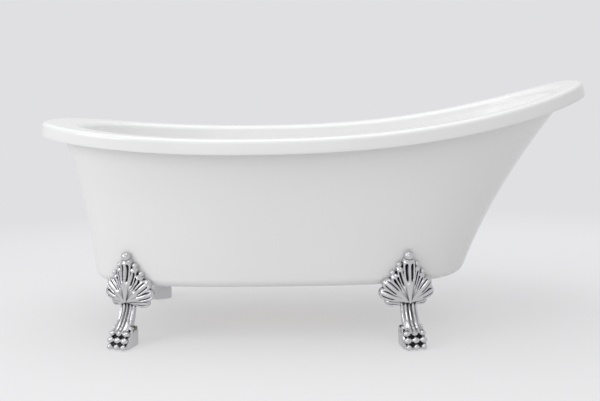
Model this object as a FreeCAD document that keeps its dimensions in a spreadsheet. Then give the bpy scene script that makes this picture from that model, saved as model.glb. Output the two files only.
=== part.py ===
import FreeCAD, Part
import Sketcher
import math
import os
import re

# Clawfoot bath of the single slipper form. Millimetres, +Z up, floor at Z = 0.
# +X runs to the raised head end, -Y is the front, and the bath is symmetric about Y = 0.

Vector = FreeCAD.Vector
Placement = FreeCAD.Placement
Rotation = FreeCAD.Rotation
X_AXIS, Y_AXIS, Z_AXIS = Vector(1, 0, 0), Vector(0, 1, 0), Vector(0, 0, 1)

SIZES = {
    # rim: plan outline of its outer edge, and that edge's height along the bath
    "tub_length": 1700, "tub_width": 752, "rim_exponent": 2.7,
    "foot_rim_height": 672, "waist_rim_height": 618, "head_rim_height": 768, "waist_place": -150,
    "foot_sheer_power": 2.1, "head_sheer_power": 2.4,
    # rim: its section, from the turned-down band to the roll into the basin
    "rim_band": 34, "band_wall": 5, "deck_wall": 6, "rim_lean": 0.8, "edge_round": 4,
    "crown_height": 9, "crown_inset": 14, "rim_roll": 20,
    "foot_deck": 112, "head_deck": 68, "side_deck": 66,
    # basin below the rim
    "basin_wall": 7, "floor_foot_inset": 275, "floor_head_inset": 520,
    "floor_half_width": 190, "floor_exponent": 3.2,
    "foot_wall_rake": 0.65, "head_wall_rake": 0.85, "side_wall_rake": 0.6,
    # outer skirt, tucked under the rim
    "skirt_wall": 5, "skirt_base_height": 174, "skirt_foot_tuck": 145, "skirt_head_tuck": 372,
    "skirt_half_base": 268, "skirt_base_exponent": 3.0, "skirt_top_exponent": 2.8,
    "skirt_foot_inset": 55, "skirt_head_inset": 30, "skirt_side_inset": 44,
    "foot_wall_bow": 0.78, "head_wall_bow": 0.40, "side_wall_bow": 0.40,
    "skirt_round": 28, "flange_reach": 77, "bond_line": 0.3,
    # base board and the two rails under it
    "board_foot_inset": 285, "board_head_inset": 535, "board_half_width": 150, "board_corner": 40,
    "board_thickness": 18, "board_hole": 48, "rail_height": 21, "rail_width": 50, "rail_wall": 3,
    "rail_end_margin": 11,
    "board_screw_radius": 2.5, "board_screw_bite": 14, "board_screw_head": 5, "screw_head_height": 3,
    "board_screw_reach": 90, "screw_clearance": 0.5, "pilot_clearance": 0.05,
    # where the feet stand, and how they are held
    "foot_end_inset": 295, "head_end_inset": 565, "seat_gap": 0.5,
    "stud_height": 238, "stud_radius": 4, "stud_bite": 9, "stud_reach": 22, "hole_clearance": 0.5,
    "thread_clearance": 0.05,
    "bolt_inset": 60, "bolt_radius": 5, "bolt_head_height": 6.4, "bolt_head_radius": 9,
    "bolt_spare": 4, "washer_radius": 10, "washer_thickness": 2, "nut_radius": 9, "nut_height": 8,
    "backing_washer_radius": 16, "backing_washer_thickness": 3, "stud_nut_radius": 7.5,
    "stud_nut_height": 6.5, "curve_gap": 0.8,
    # claw foot: palmette leaf, leg and paw
    "leaf_root_height": 135, "leaf_root_proud": 22, "leaf_tip_proud": 3, "petal_root_radius": 9,
    "petal_taper": 8,
    "dome_place": 192, "dome_radius": 58, "dome_height": 20,
    "leg_half_width": 31, "leg_knee_height": 142, "leg_knee_reach": 22, "leg_front_radius": 100,
    "leg_back_radius": 200, "leg_back_reach": -6, "ankle_height": 68, "ankle_reach": 52,
    "leg_back_foot": 20, "flute_pitch": 11.5, "flute_radius": 5, "flute_lift": 1.5,
    "shelf_half_width": 27, "shelf_depth": 72, "shelf_thickness": 10, "shelf_nose": 10,
    "paw_half_width": 38, "paw_back": 12, "paw_front": 90, "sole_height": 1.5,
    "toe_pitch": 24, "toe_length": 51, "toe_root_reach": 70, "toe_root_height": 58, "toe_slope": 62,
    "toe_neck": 6,
    # levellers screwed into the soles
    "leveller_reach": 48, "pad_radius": 18, "pad_height": 5, "pad_side_gap": 2, "collar_radius": 8,
    "collar_height": 3, "socket_gap": 0.3, "level_screw_radius": 5, "level_screw_length": 34,
    "running_clearance": 0.06, "screw_spare": 2,
    # waste, on the centreline towards the foot end
    "waste_inset": 410, "waste_flange_radius": 35, "waste_flange_height": 3, "waste_tube_radius": 22,
    "waste_tube_wall": 2.5, "waste_hole": 25, "gasket_radius": 32, "gasket_height": 1.5,
    "waste_tube_drop": 34, "back_nut_radius": 36, "back_nut_height": 9, "waste_body_radius": 27,
    "waste_body_wall": 3, "waste_body_drop": 72, "waste_thread": 17,
    "tail_radius": 20, "tail_wall": 3, "tail_step": 1,
    "tail_length": 29, "tail_grip": 12, "plug_radius": 29, "plug_height": 6, "plug_stem_radius": 4,
    "plug_stem_length": 26, "spider_arm": 5, "spider_height": 4, "spider_boss": 8, "spider_drop": 12,
    # overflow, high in the foot-end wall
    "overflow_height": 560, "overflow_plate_radius": 33, "overflow_plate_height": 7, "overflow_seat": 1.6,
    "overflow_hole": 25, "overflow_back_gap": 0.3, "overflow_gasket_height": 2,
    "overflow_box_radius": 29, "overflow_box_depth": 24, "overflow_box_wall": 2.5,
    "overflow_screw_radius": 2.5, "overflow_screw_head": 5.5, "overflow_screw_bite": 14,
    # hose from the overflow to the waste
    "spigot_radius": 10, "spigot_wall": 2, "spigot_length": 26, "spigot_drop": 68, "hose_wall": 2,
    "hose_fit": 0.3, "hose_start": 8, "hose_first_run": 65, "hose_curve": 120, "hose_bend": 40,
    "hose_mid_inset": 185, "hose_mid_rise": 95, "hose_low_inset": 233, "hose_low_rise": 0,
    "hose_drop_inset": 242, "clip_wall": 1.2, "clip_width": 9,
}

# Palmette lobes: angle from level, length from the root, half-width, and radius of the knob on the tip.
CENTRE_LOBE = (90, 151, 19, 15)
SIDE_LOBES = [(72, 126, 13, 9.5), (55, 106, 13, 9), (34, 97, 14, 0), (14, 78, 12, 0)]

document = FreeCAD.newDocument("Bath")
sheet = document.addObject("Spreadsheet::Sheet", "Dimensions")
for line, (alias, size) in enumerate(SIZES.items(), start=1):
    sheet.set("A%d" % line, alias)
    sheet.set("B%d" % line, str(size))
    sheet.setAlias("B%d" % line, alias)
document.recompute()

WORD = re.compile(r"[a-z][a-z_0-9]*")
FUNCTIONS = ("sin", "cos", "tan", "sqrt", "abs", "deg")
parts = []


def bound(formula):
    """The formula as the document writes it, with each size read from the sheet."""
    return WORD.sub(lambda word: word[0] if word[0] in FUNCTIONS else "Dimensions." + word[0], formula)


def number(formula):
    """The formula's present value, in millimetres or degrees."""
    value = sheet.evalExpression(bound(formula))
    return float(getattr(value, "Value", value))


# --- Lines of the bath: the sheer line and the plan outlines that the shells follow ---------------

COLUMNS = 24
TURNS = [360 / COLUMNS * step for step in range(COLUMNS)]
HALVES = ((0, 0.5), (0.5, 1))
HALF_LENGTH = number("tub_length / 2")
FLOOR_HEIGHT = "(skirt_base_height + skirt_wall + rail_height + board_thickness + basin_wall)"
FLOOR = number(FLOOR_HEIGHT)
SKIRT_FOOT_BASE = HALF_LENGTH - sheet.skirt_foot_tuck
SKIRT_HEAD_BASE = HALF_LENGTH - sheet.skirt_head_tuck


def sheer(x):
    """Height of the rim's edge: level at the waist, rising by a power of the distance from it."""
    waist, low = sheet.waist_place, sheet.waist_rim_height
    if x < waist:
        share = (waist - x) / (waist + HALF_LENGTH)
        return low + (sheet.foot_rim_height - low) * share ** sheet.foot_sheer_power
    share = (x - waist) / (HALF_LENGTH - waist)
    return low + (sheet.head_rim_height - low) * share ** sheet.head_sheer_power


def sheer_slope(x):
    return (sheer(x + 1) - sheer(x - 1)) / 2


def outline(foot_end, head_end, half_width, exponent, turn):
    """One point of a plan outline: a superellipse, at the given turn round it in degrees."""
    across, along = math.sin(math.radians(turn)), math.cos(math.radians(turn))
    reach = (abs(along) ** exponent + abs(across) ** exponent) ** (-1 / exponent)
    middle, half_length = (head_end - foot_end) / 2, (head_end + foot_end) / 2
    return middle + half_length * along * reach, half_width * across * reach


def blend(low, high, share):
    return low + (high - low) * share


FOOT_EDGE = HALF_LENGTH + sheet.rim_lean * sheet.rim_band * sheer_slope(-HALF_LENGTH + 1)
HEAD_EDGE = HALF_LENGTH - sheet.rim_lean * sheet.rim_band * sheer_slope(HALF_LENGTH - 1)


def rim_point(turn, inset, rise):
    """A point of the rim's section: inset from its edge, and rise above it square to the sheer."""
    edge = outline(FOOT_EDGE, HEAD_EDGE, sheet.tub_width / 2, sheet.rim_exponent, turn)
    wall = outline(FOOT_EDGE - sheet.foot_deck, HEAD_EDGE - sheet.head_deck,
                   sheet.tub_width / 2 - sheet.side_deck, sheet.rim_exponent, turn)
    share = inset / math.dist(edge, wall)
    x, y = blend(edge[0], wall[0], share), blend(edge[1], wall[1], share)
    return Vector(x - sheet.rim_lean * sheer_slope(x) * rise * (1 - share), y, sheer(x) + rise)


def deck_width(turn):
    edge = rim_point(turn, 0, 0)
    wall = outline(FOOT_EDGE - sheet.foot_deck, HEAD_EDGE - sheet.head_deck,
                   sheet.tub_width / 2 - sheet.side_deck, sheet.rim_exponent, turn)
    return math.dist((edge.x, edge.y), wall)


def bowl_point(turn, angle, grow, rise):
    """A point of the bowl's wall, which sweeps from the level floor (0) to upright at the rim (90)."""
    up, out = 1 - math.cos(math.radians(angle)), math.sin(math.radians(angle))
    ends = []
    for floor_end, wall_end, rake in (
            (HALF_LENGTH - sheet.floor_foot_inset, FOOT_EDGE - sheet.foot_deck, sheet.foot_wall_rake),
            (HALF_LENGTH - sheet.floor_head_inset, HEAD_EDGE - sheet.head_deck, sheet.head_wall_rake),
            (sheet.floor_half_width, sheet.tub_width / 2 - sheet.side_deck, sheet.side_wall_rake)):
        ends.append(blend(floor_end, wall_end, rake * up + (1 - rake) * out) + grow)
    exponent = blend(sheet.floor_exponent, sheet.rim_exponent, up)
    top = outline(FOOT_EDGE - sheet.foot_deck, HEAD_EDGE - sheet.head_deck,
                  sheet.tub_width / 2 - sheet.side_deck, sheet.rim_exponent, turn)
    x, y = outline(ends[0], ends[1], ends[2], exponent, turn)
    return Vector(x, y, blend(FLOOR - grow, sheer(top[0]) + rise, up))


def underside(turn, x, y):
    """Height of the rim's underside over a plan point near the straight line across it at this turn."""
    outer = rim_point(turn, sheet.band_wall, -sheet.deck_wall)
    inner = bowl_point(turn, 90, sheet.basin_wall, -sheet.deck_wall)
    across = Vector(inner.x - outer.x, inner.y - outer.y, 0)
    share = across.dot(Vector(x, y, 0) - outer) / across.dot(across)
    return blend(outer.z, inner.z, share) + sheer(x) - sheer(blend(outer.x, inner.x, share))


def skirt_top(turn, grow=0):
    """Where the skirt meets the underside of the rim."""
    x, y = outline(FOOT_EDGE - sheet.skirt_foot_inset + grow, HEAD_EDGE - sheet.skirt_head_inset + grow,
                   sheet.tub_width / 2 - sheet.skirt_side_inset + grow, sheet.skirt_top_exponent, turn)
    return Vector(x, y, underside(turn, x, y) - sheet.bond_line)


def skirt_point(turn, height, grow=0):
    """A point of the skirt at a height above the floor; its foot rounds under to the flange."""
    base = sheet.skirt_base_height - grow
    up = (height - base) / (skirt_top(turn, grow).z - base)
    ends = []
    for low, high, bow in (
            (SKIRT_FOOT_BASE, FOOT_EDGE - sheet.skirt_foot_inset, sheet.foot_wall_bow),
            (SKIRT_HEAD_BASE, HEAD_EDGE - sheet.skirt_head_inset, sheet.head_wall_bow),
            (sheet.skirt_half_base, sheet.tub_width / 2 - sheet.skirt_side_inset, sheet.side_wall_bow)):
        ends.append(blend(low, high, (1 - bow) * up + bow * up * up) + grow)
    radius = sheet.skirt_round + grow
    below = max(0, base + radius - height)
    inset = radius - math.sqrt(max(0, radius ** 2 - below ** 2))
    exponent = blend(sheet.skirt_base_exponent, sheet.skirt_top_exponent, up)
    x, y = outline(ends[0] - inset, ends[1] - inset, ends[2] - inset, exponent, turn)
    return Vector(x, y, height)


# --- Surfaces through those lines -----------------------------------------------------------------

def ring(row):
    """A smooth closed curve through one row of points round the bath."""
    curve = Part.BSplineCurve()
    curve.interpolate(Points=row, PeriodicFlag=True, Parameters=[turn / 360 for turn in TURNS] + [1])
    return curve


def skin(rows):
    """Two smooth faces, rear and front, through rows of points that each run once round the bath."""
    rings = [ring(row) for row in rows]
    travel = [0]
    for low, high in zip(rows, rows[1:]):
        travel.append(travel[-1] + sum(a.distanceToPoint(b) for a, b in zip(low, high)) / COLUMNS)
    poles = []
    for strand in zip(*(one.getPoles() for one in rings)):
        rib = Part.BSplineCurve()
        rib.interpolate(Points=list(strand), Parameters=travel)
        poles.append(rib.getPoles())
    surface = Part.BSplineSurface()
    surface.buildFromPolesMultsKnots(
        poles, rings[0].getMultiplicities(), rib.getMultiplicities(), rings[0].getKnots(), rib.getKnots(),
        True, False, rings[0].Degree, rib.Degree)
    surface.setUNotPeriodic()
    halves = [surface, surface.copy()]
    for half, (start, stop) in zip(halves, HALVES):
        half.segment(start, stop, travel[0], travel[-1])
    return [half.toShape() for half in halves]


def level_face(row):
    """A flat face bounded by one level row of points."""
    edges = []
    for start, stop in HALVES:
        curve = ring(row)
        curve.setNotPeriodic()
        curve.segment(start, stop)
        edges.append(curve.toShape())
    return [Part.Face(Part.Wire(edges))]


def strips(rows):
    """Straight-sided bands from each row of points to the next."""
    faces = []
    for pair in zip(rows, rows[1:]):
        faces += skin(list(pair))
    return faces


def closed_solid(faces):
    shell = Part.makeShell(faces)
    shell.sewShape()
    solid = Part.makeSolid(shell)
    if solid.Volume < 0:
        solid.reverse()
    return solid


def drilled(shape, *holes):
    for hole in holes:
        shape = shape.cut(hole)
    return shape


def add_shape(label, shape, placement=None):
    """A sub-part whose shape comes from surfaces or repeats that no feature makes."""
    feature = document.addObject("Part::Feature", label)
    feature.Label = label
    feature.Shape = shape
    if placement:
        feature.Placement = placement
    parts.append(feature)
    return feature


# --- Where the feet stand: on the skirt's surface at the height of their studs --------------------

def turn_at(station, height, grow=0):
    """The turn, on the front half, at which the skirt passes this station."""
    low, high = 180, 360
    while high - low > 1e-6:
        turn = (low + high) / 2
        low, high = (turn, high) if skirt_point(turn, height, grow).x < station else (low, turn)
    return low


def behind(foot, height, grow=0):
    """How far out the skirt lies, in a front foot's own frame, straight behind the foot's middle."""
    low, high = 180, 360
    while high - low > 1e-6:
        turn = (low + high) / 2
        there = foot.inverse().multVec(skirt_point(turn, height, grow))
        low, high = (turn, high) if there.x < 0 else (low, turn)
    return there.y


def lean_of(foot):
    """The skirt's lean outwards behind a foot, in degrees, from its rounded foot to the leaf's top."""
    low, high = sheet.skirt_base_height + sheet.skirt_round, sheet.leaf_root_height + CENTRE_LOBE[1]
    return math.degrees(math.atan2(behind(foot, low) - behind(foot, high), high - low))


def wall_depth(stud_line):
    """How far in along a front foot's stud the skirt's inner face lies."""
    low, high = 0, 4 * sheet.skirt_wall
    while high - low > 1e-6:
        depth = (low + high) / 2
        there = stud_line.multVec(Vector(0, 0, -depth))
        wall = skirt_point(turn_at(there.x, there.z, -sheet.skirt_wall), there.z, -sheet.skirt_wall)
        low, high = (depth, high) if there.y < wall.y else (low, depth)
    return low


# A stud's line is square to its leaf's back, which leans as the skirt does behind that pair of feet.
BOLT_PLACE = Vector(0, sheet.bolt_inset, 0)
FEET, LEANS, STUD_LINES, WALL_DEPTHS = {}, {}, {}, {}
for end, station in (("left", sheet.foot_end_inset - HALF_LENGTH),
                     ("right", HALF_LENGTH - sheet.head_end_inset)):
    turn = turn_at(station, sheet.stud_height)
    before, seat, after = (skirt_point(turn + aside, sheet.stud_height) for aside in (-0.5, 0, 0.5))
    yaw = math.degrees(math.atan2(after.y - before.y, after.x - before.x))
    FEET["front_" + end] = Placement(Vector(seat.x, seat.y, 0), Rotation(Z_AXIS, yaw))
    FEET["rear_" + end] = Placement(Vector(seat.x, -seat.y, 0), Rotation(Z_AXIS, 180 - yaw))
    LEANS[end] = lean_of(FEET["front_" + end])
    stud_line = Placement(Vector(0, 0, sheet.stud_height), Rotation(X_AXIS, 90 + LEANS[end]))
    for side in ("front_", "rear_"):
        STUD_LINES[side + end] = FEET[side + end].multiply(stud_line)
        WALL_DEPTHS[side + end] = wall_depth(STUD_LINES["front_" + end])


def cylinder(radius, low, high, placement=None):
    """A round bar or hole along its own Z axis, from low to high."""
    bar = Part.makeCylinder(radius, high - low, Vector(0, 0, low))
    if placement:
        bar = bar.transformed(placement.toMatrix())
    return bar


# --- Basin: one moulding of the bowl, the crowned rim and its turned-down band --------------------

WALL_ANGLES = (0, 10, 22, 36, 50, 64, 78, 90)


def ringed(point, *arguments):
    return [point(turn, *arguments) for turn in TURNS]


def overflow_line():
    """Placement on the foot-end wall with its Z axis square to the wall, into the bath."""
    low, high = 1, 90
    rise = sheet.crown_height - sheet.rim_roll
    while high - low > 1e-6:
        angle = (low + high) / 2
        below = bowl_point(180, angle, 0, rise).z < sheet.overflow_height
        low, high = (angle, high) if below else (low, angle)
    here, above = bowl_point(180, low, 0, rise), bowl_point(180, low + 1, 0, rise)
    lean = math.degrees(math.atan2(here.x - above.x, above.z - here.z))
    return Placement(here, Rotation(Y_AXIS, 90 - lean))


WASTE_PLACE = "(waste_inset - tub_length / 2)"
WASTE_LINE = Placement(Vector(number(WASTE_PLACE), 0, FLOOR), Rotation())
OVERFLOW_LINE = overflow_line()


def basin_shape():
    edge, crown, roll = sheet.edge_round, sheet.crown_height, sheet.rim_roll
    wall = [ringed(bowl_point, angle, 0, crown - roll) for angle in WALL_ANGLES]
    rim = [wall[-1]]
    for angle in (22.5, 45, 67.5, 90):
        back, up = math.cos(math.radians(angle)), math.sin(math.radians(angle))
        rim.append([rim_point(turn, deck_width(turn) - roll * (1 - back), crown - roll * (1 - up))
                    for turn in TURNS])
    rim += [ringed(rim_point, sheet.crown_inset, crown), ringed(rim_point, edge, edge),
            ringed(rim_point, edge / 6, 0), ringed(rim_point, 0, -edge)]
    band = [rim[-1], ringed(rim_point, 0, -sheet.rim_band),
            ringed(rim_point, sheet.band_wall, -sheet.rim_band),
            ringed(rim_point, sheet.band_wall, -sheet.deck_wall)]
    back_wall = [ringed(bowl_point, angle, sheet.basin_wall, -sheet.deck_wall) for angle in WALL_ANGLES[::-1]]
    faces = level_face(wall[0]) + skin(wall) + strips(rim) + strips(band)
    faces += strips([band[-1]] + back_wall) + level_face(back_wall[-1])
    return drilled(closed_solid(faces),
                   cylinder(sheet.waste_hole, -2 * sheet.basin_wall, sheet.basin_wall, WASTE_LINE),
                   cylinder(sheet.overflow_hole, -3 * sheet.basin_wall, 3 * sheet.basin_wall, OVERFLOW_LINE))


add_shape("basin", basin_shape())


# --- Outer skirt: a second shell, tucked under the rim and turned in beneath the bath --------------

def skirt_rows(grow):
    base, radius = sheet.skirt_base_height - grow, sheet.skirt_round + grow
    rows = [[skirt_point(turn, base + radius * (1 - math.cos(math.radians(angle))), grow) for turn in TURNS]
            for angle in (0, 30, 60, 90)]
    return rows, [[skirt_point(turn, blend(base + radius, skirt_top(turn, grow).z, share), grow)
                   for turn in TURNS] for share in (0, 0.25, 0.5, 0.75, 1)]


def flange_tip(height):
    reach = sheet.flange_reach
    return [Vector(*outline(SKIRT_FOOT_BASE - reach, SKIRT_HEAD_BASE - reach,
                            sheet.skirt_half_base - reach, sheet.skirt_base_exponent, turn), height)
            for turn in TURNS]


def skirt_shape():
    (outer_foot, outer_wall), (inner_foot, inner_wall) = skirt_rows(0), skirt_rows(-sheet.skirt_wall)
    base = sheet.skirt_base_height
    flange = [outer_foot[0], flange_tip(base), flange_tip(base + sheet.skirt_wall), inner_foot[0]]
    faces = strips(flange) + strips(outer_foot) + skin(outer_wall) + strips([outer_wall[-1], inner_wall[-1]])
    faces += strips(inner_wall) + strips(inner_foot)
    shape = closed_solid(faces)
    for corner, foot in FEET.items():
        stud = cylinder(sheet.stud_radius + sheet.hole_clearance, -30, 30, STUD_LINES[corner])
        bolt = cylinder(sheet.bolt_radius + sheet.hole_clearance, base - 10, base + 2 * sheet.skirt_wall,
                        foot.multiply(Placement(BOLT_PLACE, Rotation())))
        shape = drilled(shape, stud, bolt)
    return shape


add_shape("outer_skirt", skirt_shape())


# --- Drawn outlines, and the steps that make solids of them ----------------------------------------

def add_body(label, is_part=True):
    body = document.addObject("PartDesign::Body", label)
    body.Label = label
    if is_part:
        parts.append(body)
    return body


def drawing(body, plane, offset):
    sketch = body.newObject("Sketcher::SketchObject", body.Label + "_drawing")
    support = next(datum for datum in body.Origin.OriginFeatures if datum.Role == plane)
    sketch.AttachmentSupport = [(support, "")]
    sketch.MapMode = "FlatFace"
    if offset:
        sketch.AttachmentOffset = offset
    return sketch


def pin(sketch, kind, first, formula):
    """A driving dimension of the drawing, tied to the sizes that its formula names."""
    index = sketch.addConstraint(Sketcher.Constraint(kind, *first, abs(number(formula)) if kind == "Radius"
                                                     else number(formula)))
    sketch.setExpression("Constraints[%d]" % index, bound(formula))


def profile(body, plane, corners, offset=None):
    """A closed outline. A corner is its two distances from the origin, as formulas. A third formula
    makes the edge to the next corner an arc of that radius, and a fourth word says which way it bulges."""
    sketch = drawing(body, plane, offset)
    places = [Vector(number(corner[0]), number(corner[1]), 0) for corner in corners]
    ends = []
    for corner, start, stop in zip(corners, places, places[1:] + places[:1]):
        if len(corner) == 2:
            sketch.addGeometry(Part.LineSegment(start, stop))
            ends.append((1, 2))
            continue
        radius, chord = number(corner[2]), stop - start
        aside = Vector(chord.y, -chord.x, 0) / chord.Length * (1 if corner[3] == "right" else -1)
        rise = radius - math.sqrt(radius ** 2 - chord.Length ** 2 / 4)
        sketch.addGeometry(Part.Arc(start, (start + stop) / 2 + aside * rise, stop))
        ends.append((1, 2) if corner[3] == "right" else (2, 1))
    for index, corner in enumerate(corners):
        following = (index + 1) % len(corners)
        sketch.addConstraint(Sketcher.Constraint("Coincident", index, ends[index][1],
                                                 following, ends[following][0]))
        pin(sketch, "DistanceX", (-1, 1, index, ends[index][0]), corner[0])
        pin(sketch, "DistanceY", (-1, 1, index, ends[index][0]), corner[1])
        if len(corner) > 2:
            pin(sketch, "Radius", (index,), corner[2])
    return sketch


def circles(body, plane, places, radius, offset=None):
    """Circles of one radius at places given as two formulas each."""
    sketch = drawing(body, plane, offset)
    for index, (across, up) in enumerate(places):
        centre = Vector(number(across), number(up), 0)
        sketch.addGeometry(Part.Circle(centre, Z_AXIS, number(radius)))
        pin(sketch, "DistanceX", (-1, 1, index, 3), across)
        pin(sketch, "DistanceY", (-1, 1, index, 3), up)
        pin(sketch, "Radius", (index,), radius)
    return sketch


def step(body, kind, sketch, length=None, **settings):
    """One feature of a body: a pad, pocket, revolution or groove of a drawing."""
    feature = body.newObject("PartDesign::" + kind, body.Label + "_" + kind.lower())
    feature.Profile = sketch
    if length:
        feature.setExpression("Length", bound(length))
    if kind in ("Revolution", "Groove"):
        feature.ReferenceAxis = (sketch, [settings.pop("axis", "V_Axis")])
        feature.Angle = settings.pop("angle", 360)
    for name, setting in settings.items():
        setattr(feature, name, setting)
    return feature


def turned(label, corners, is_part=True):
    """A round piece: its half section, as (radius, height) corners, turned about the Z axis."""
    body = add_body(label, is_part)
    step(body, "Revolution", profile(body, "XZ_Plane", corners))
    return body


def ring_section(inner, outer, low, high):
    return [(inner, low), (outer, low), (outer, high), (inner, high)]


def hexagon(radius):
    return [("%s * cos(%d deg)" % (radius, angle), "%s * sin(%d deg)" % (radius, angle))
            for angle in range(0, 360, 60)]


def add_group(label, master, placements):
    """One node of like pieces: the master's solid at each placement."""
    links = []
    for placement in placements:
        link = document.addObject("App::Link", master.Label + "_copy")
        link.LinkedObject = master
        link.Placement = placement
        links.append(link)
    group = document.addObject("Part::Compound", label)
    group.Label = label
    group.Links = links
    parts.append(group)
    return group


# --- Base board under the basin, and the two channel rails that carry it ---------------------------

RAILS = {end: FEET["front_" + end].multVec(BOLT_PLACE).x for end in ("left", "right")}
RAIL_LEVEL = sheet.skirt_base_height + sheet.skirt_wall
BOLT_PLACES = [foot.multVec(BOLT_PLACE) for foot in FEET.values()]
SCREW_PLACES = [Vector(x, side * sheet.board_screw_reach, RAIL_LEVEL)
                for x in RAILS.values() for side in (-1, 1)]


def plain(value):
    return "%.12f" % value


BOARD_FOOT_END = "board_foot_inset - tub_length / 2"
BOARD_HEAD_END = "tub_length / 2 - board_head_inset"
board = add_body("base_board")
board_pad = step(board, "Pad", profile(board, "XY_Plane", [
    (BOARD_FOOT_END, "-board_half_width"), (BOARD_HEAD_END, "-board_half_width"),
    (BOARD_HEAD_END, "board_half_width"), (BOARD_FOOT_END, "board_half_width")]), "board_thickness")
document.recompute()
board_corners = board.newObject("PartDesign::Fillet", "board_corners")
board_corners.Base = (board_pad, ["Edge%d" % (index + 1) for index, edge in enumerate(board_pad.Shape.Edges)
                                  if abs(edge.tangentAt(edge.FirstParameter).z) > 0.99])
board_corners.setExpression("Radius", bound("board_corner"))
step(board, "Pocket", circles(board, "XY_Plane", [(WASTE_PLACE, "0")], "board_hole"),
     Type="ThroughAll", Midplane=True)
step(board, "Pocket", circles(board, "XY_Plane", [(plain(place.x), plain(place.y)) for place in SCREW_PLACES],
                              "board_screw_radius + pilot_clearance"), "board_screw_bite + 1", Reversed=True)
board.setExpression("Placement.Base.z", bound("skirt_base_height + skirt_wall + rail_height"))

for end, x in RAILS.items():
    reach = FEET["rear_" + end].multVec(BOLT_PLACE).y + sheet.rail_end_margin
    rail = add_body("cross_rail_" + end)
    step(rail, "Pad", profile(rail, "XZ_Plane", [
        ("-rail_width / 2", "0"), ("rail_width / 2", "0"),
        ("rail_width / 2", "rail_height"), ("rail_width / 2 - rail_wall", "rail_height"),
        ("rail_width / 2 - rail_wall", "rail_wall"), ("-rail_width / 2 + rail_wall", "rail_wall"),
        ("-rail_width / 2 + rail_wall", "rail_height"), ("-rail_width / 2", "rail_height")]),
        plain(2 * reach), Midplane=True)
    bolts = [("0", plain(place.y)) for place in BOLT_PLACES if abs(place.x - x) < 1]
    step(rail, "Pocket", circles(rail, "XY_Plane", bolts, "bolt_radius + hole_clearance"),
         Type="ThroughAll", Midplane=True)
    step(rail, "Pocket", circles(rail, "XY_Plane", [("0", "board_screw_reach"), ("0", "-board_screw_reach")],
                                 "board_screw_radius + screw_clearance"), Type="ThroughAll", Midplane=True)
    rail.Placement.Base = Vector(x, 0, 0)
    rail.setExpression("Placement.Base.z", bound("skirt_base_height + skirt_wall"))

board_screw = turned("board_screw", [
    ("0", "-screw_head_height"), ("board_screw_head * 0.8", "-screw_head_height"),
    ("board_screw_head", "-screw_head_height * 0.3"), ("board_screw_head", "0"), ("board_screw_radius", "0"),
    ("board_screw_radius", "rail_height + board_screw_bite - board_screw_radius"),
    ("0", "rail_height + board_screw_bite")],
    is_part=False)
add_group("board_screws", board_screw, [Placement(place, Rotation()) for place in SCREW_PLACES])


# --- Fasteners of the feet: a bolt up through each shelf, and a stud through the skirt --------------

foot_bolt = add_body("foot_bolt", is_part=False)
step(foot_bolt, "Pad", profile(foot_bolt, "XY_Plane", hexagon("bolt_head_radius")), "bolt_head_height",
     Reversed=True)
step(foot_bolt, "Pad", circles(foot_bolt, "XY_Plane", [("0", "0")], "bolt_radius"),
     "shelf_thickness + skirt_wall + rail_wall + washer_thickness + nut_height + bolt_spare")
rail_washer = turned("rail_washer", ring_section(
    "bolt_radius + hole_clearance", "washer_radius", "0", "washer_thickness"), is_part=False)


def nut(label, radius, bore, height):
    body = add_body(label, is_part=False)
    step(body, "Pad", profile(body, "XY_Plane", hexagon(radius)), height)
    step(body, "Pocket", circles(body, "XY_Plane", [("0", "0")], bore), Type="ThroughAll", Midplane=True)
    return body


rail_nut = nut("rail_nut", "nut_radius", "bolt_radius + thread_clearance", "nut_height")
for label, master, level in (
        ("foot_bolts", foot_bolt, sheet.skirt_base_height - sheet.shelf_thickness),
        ("rail_washers", rail_washer, RAIL_LEVEL + sheet.rail_wall),
        ("rail_nuts", rail_nut, RAIL_LEVEL + sheet.rail_wall + sheet.washer_thickness)):
    add_group(label, master,
              [Placement(Vector(place.x, place.y, level), Rotation()) for place in BOLT_PLACES])

foot_stud = turned("foot_stud", [
    ("0", "-stud_reach"), ("stud_radius - 1", "-stud_reach"), ("stud_radius", "1 - stud_reach"),
    ("stud_radius", "seat_gap + stud_bite - 2"), ("stud_radius - 1", "seat_gap + stud_bite - 1"),
    ("0", "seat_gap + stud_bite - 1")], is_part=False)
backing_washer = turned("backing_washer", ring_section(
    "stud_radius + hole_clearance", "backing_washer_radius", "-backing_washer_thickness", "0"), is_part=False)
stud_nut = nut("stud_nut", "stud_nut_radius", "stud_radius + thread_clearance", "stud_nut_height")


def inside_skirt(corner, further=0):
    """A place on a foot's stud, just clear of the skirt's curved inner face."""
    depth = WALL_DEPTHS[corner] + sheet.curve_gap + further
    return STUD_LINES[corner].multiply(Placement(Vector(0, 0, -depth), Rotation()))


add_group("foot_studs", foot_stud, STUD_LINES.values())
add_group("backing_washers", backing_washer, [inside_skirt(corner) for corner in FEET])
add_group("stud_nuts", stud_nut, [
    inside_skirt(corner, sheet.backing_washer_thickness + sheet.stud_nut_height) for corner in FEET])


# --- Claw foot: a palmette leaf on the skirt, a fluted leg and a knobbed paw -------------------------
# In a foot's own frame the skirt's stud point stands over the origin and -Y is outwards.

def leaf_frame(lean, angle, dip, proud):
    """A drawing's place in the leaf: turned to an angle from level, and dipped towards the skirt."""
    height = sheet.leaf_root_height
    back = (height - sheet.stud_height) * math.tan(math.radians(lean))
    turn = Rotation(X_AXIS, lean).multiply(Rotation(Z_AXIS, angle - 90))
    return Placement(Vector(0, height, back + proud), turn.multiply(Rotation(X_AXIS, -dip)))


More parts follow.
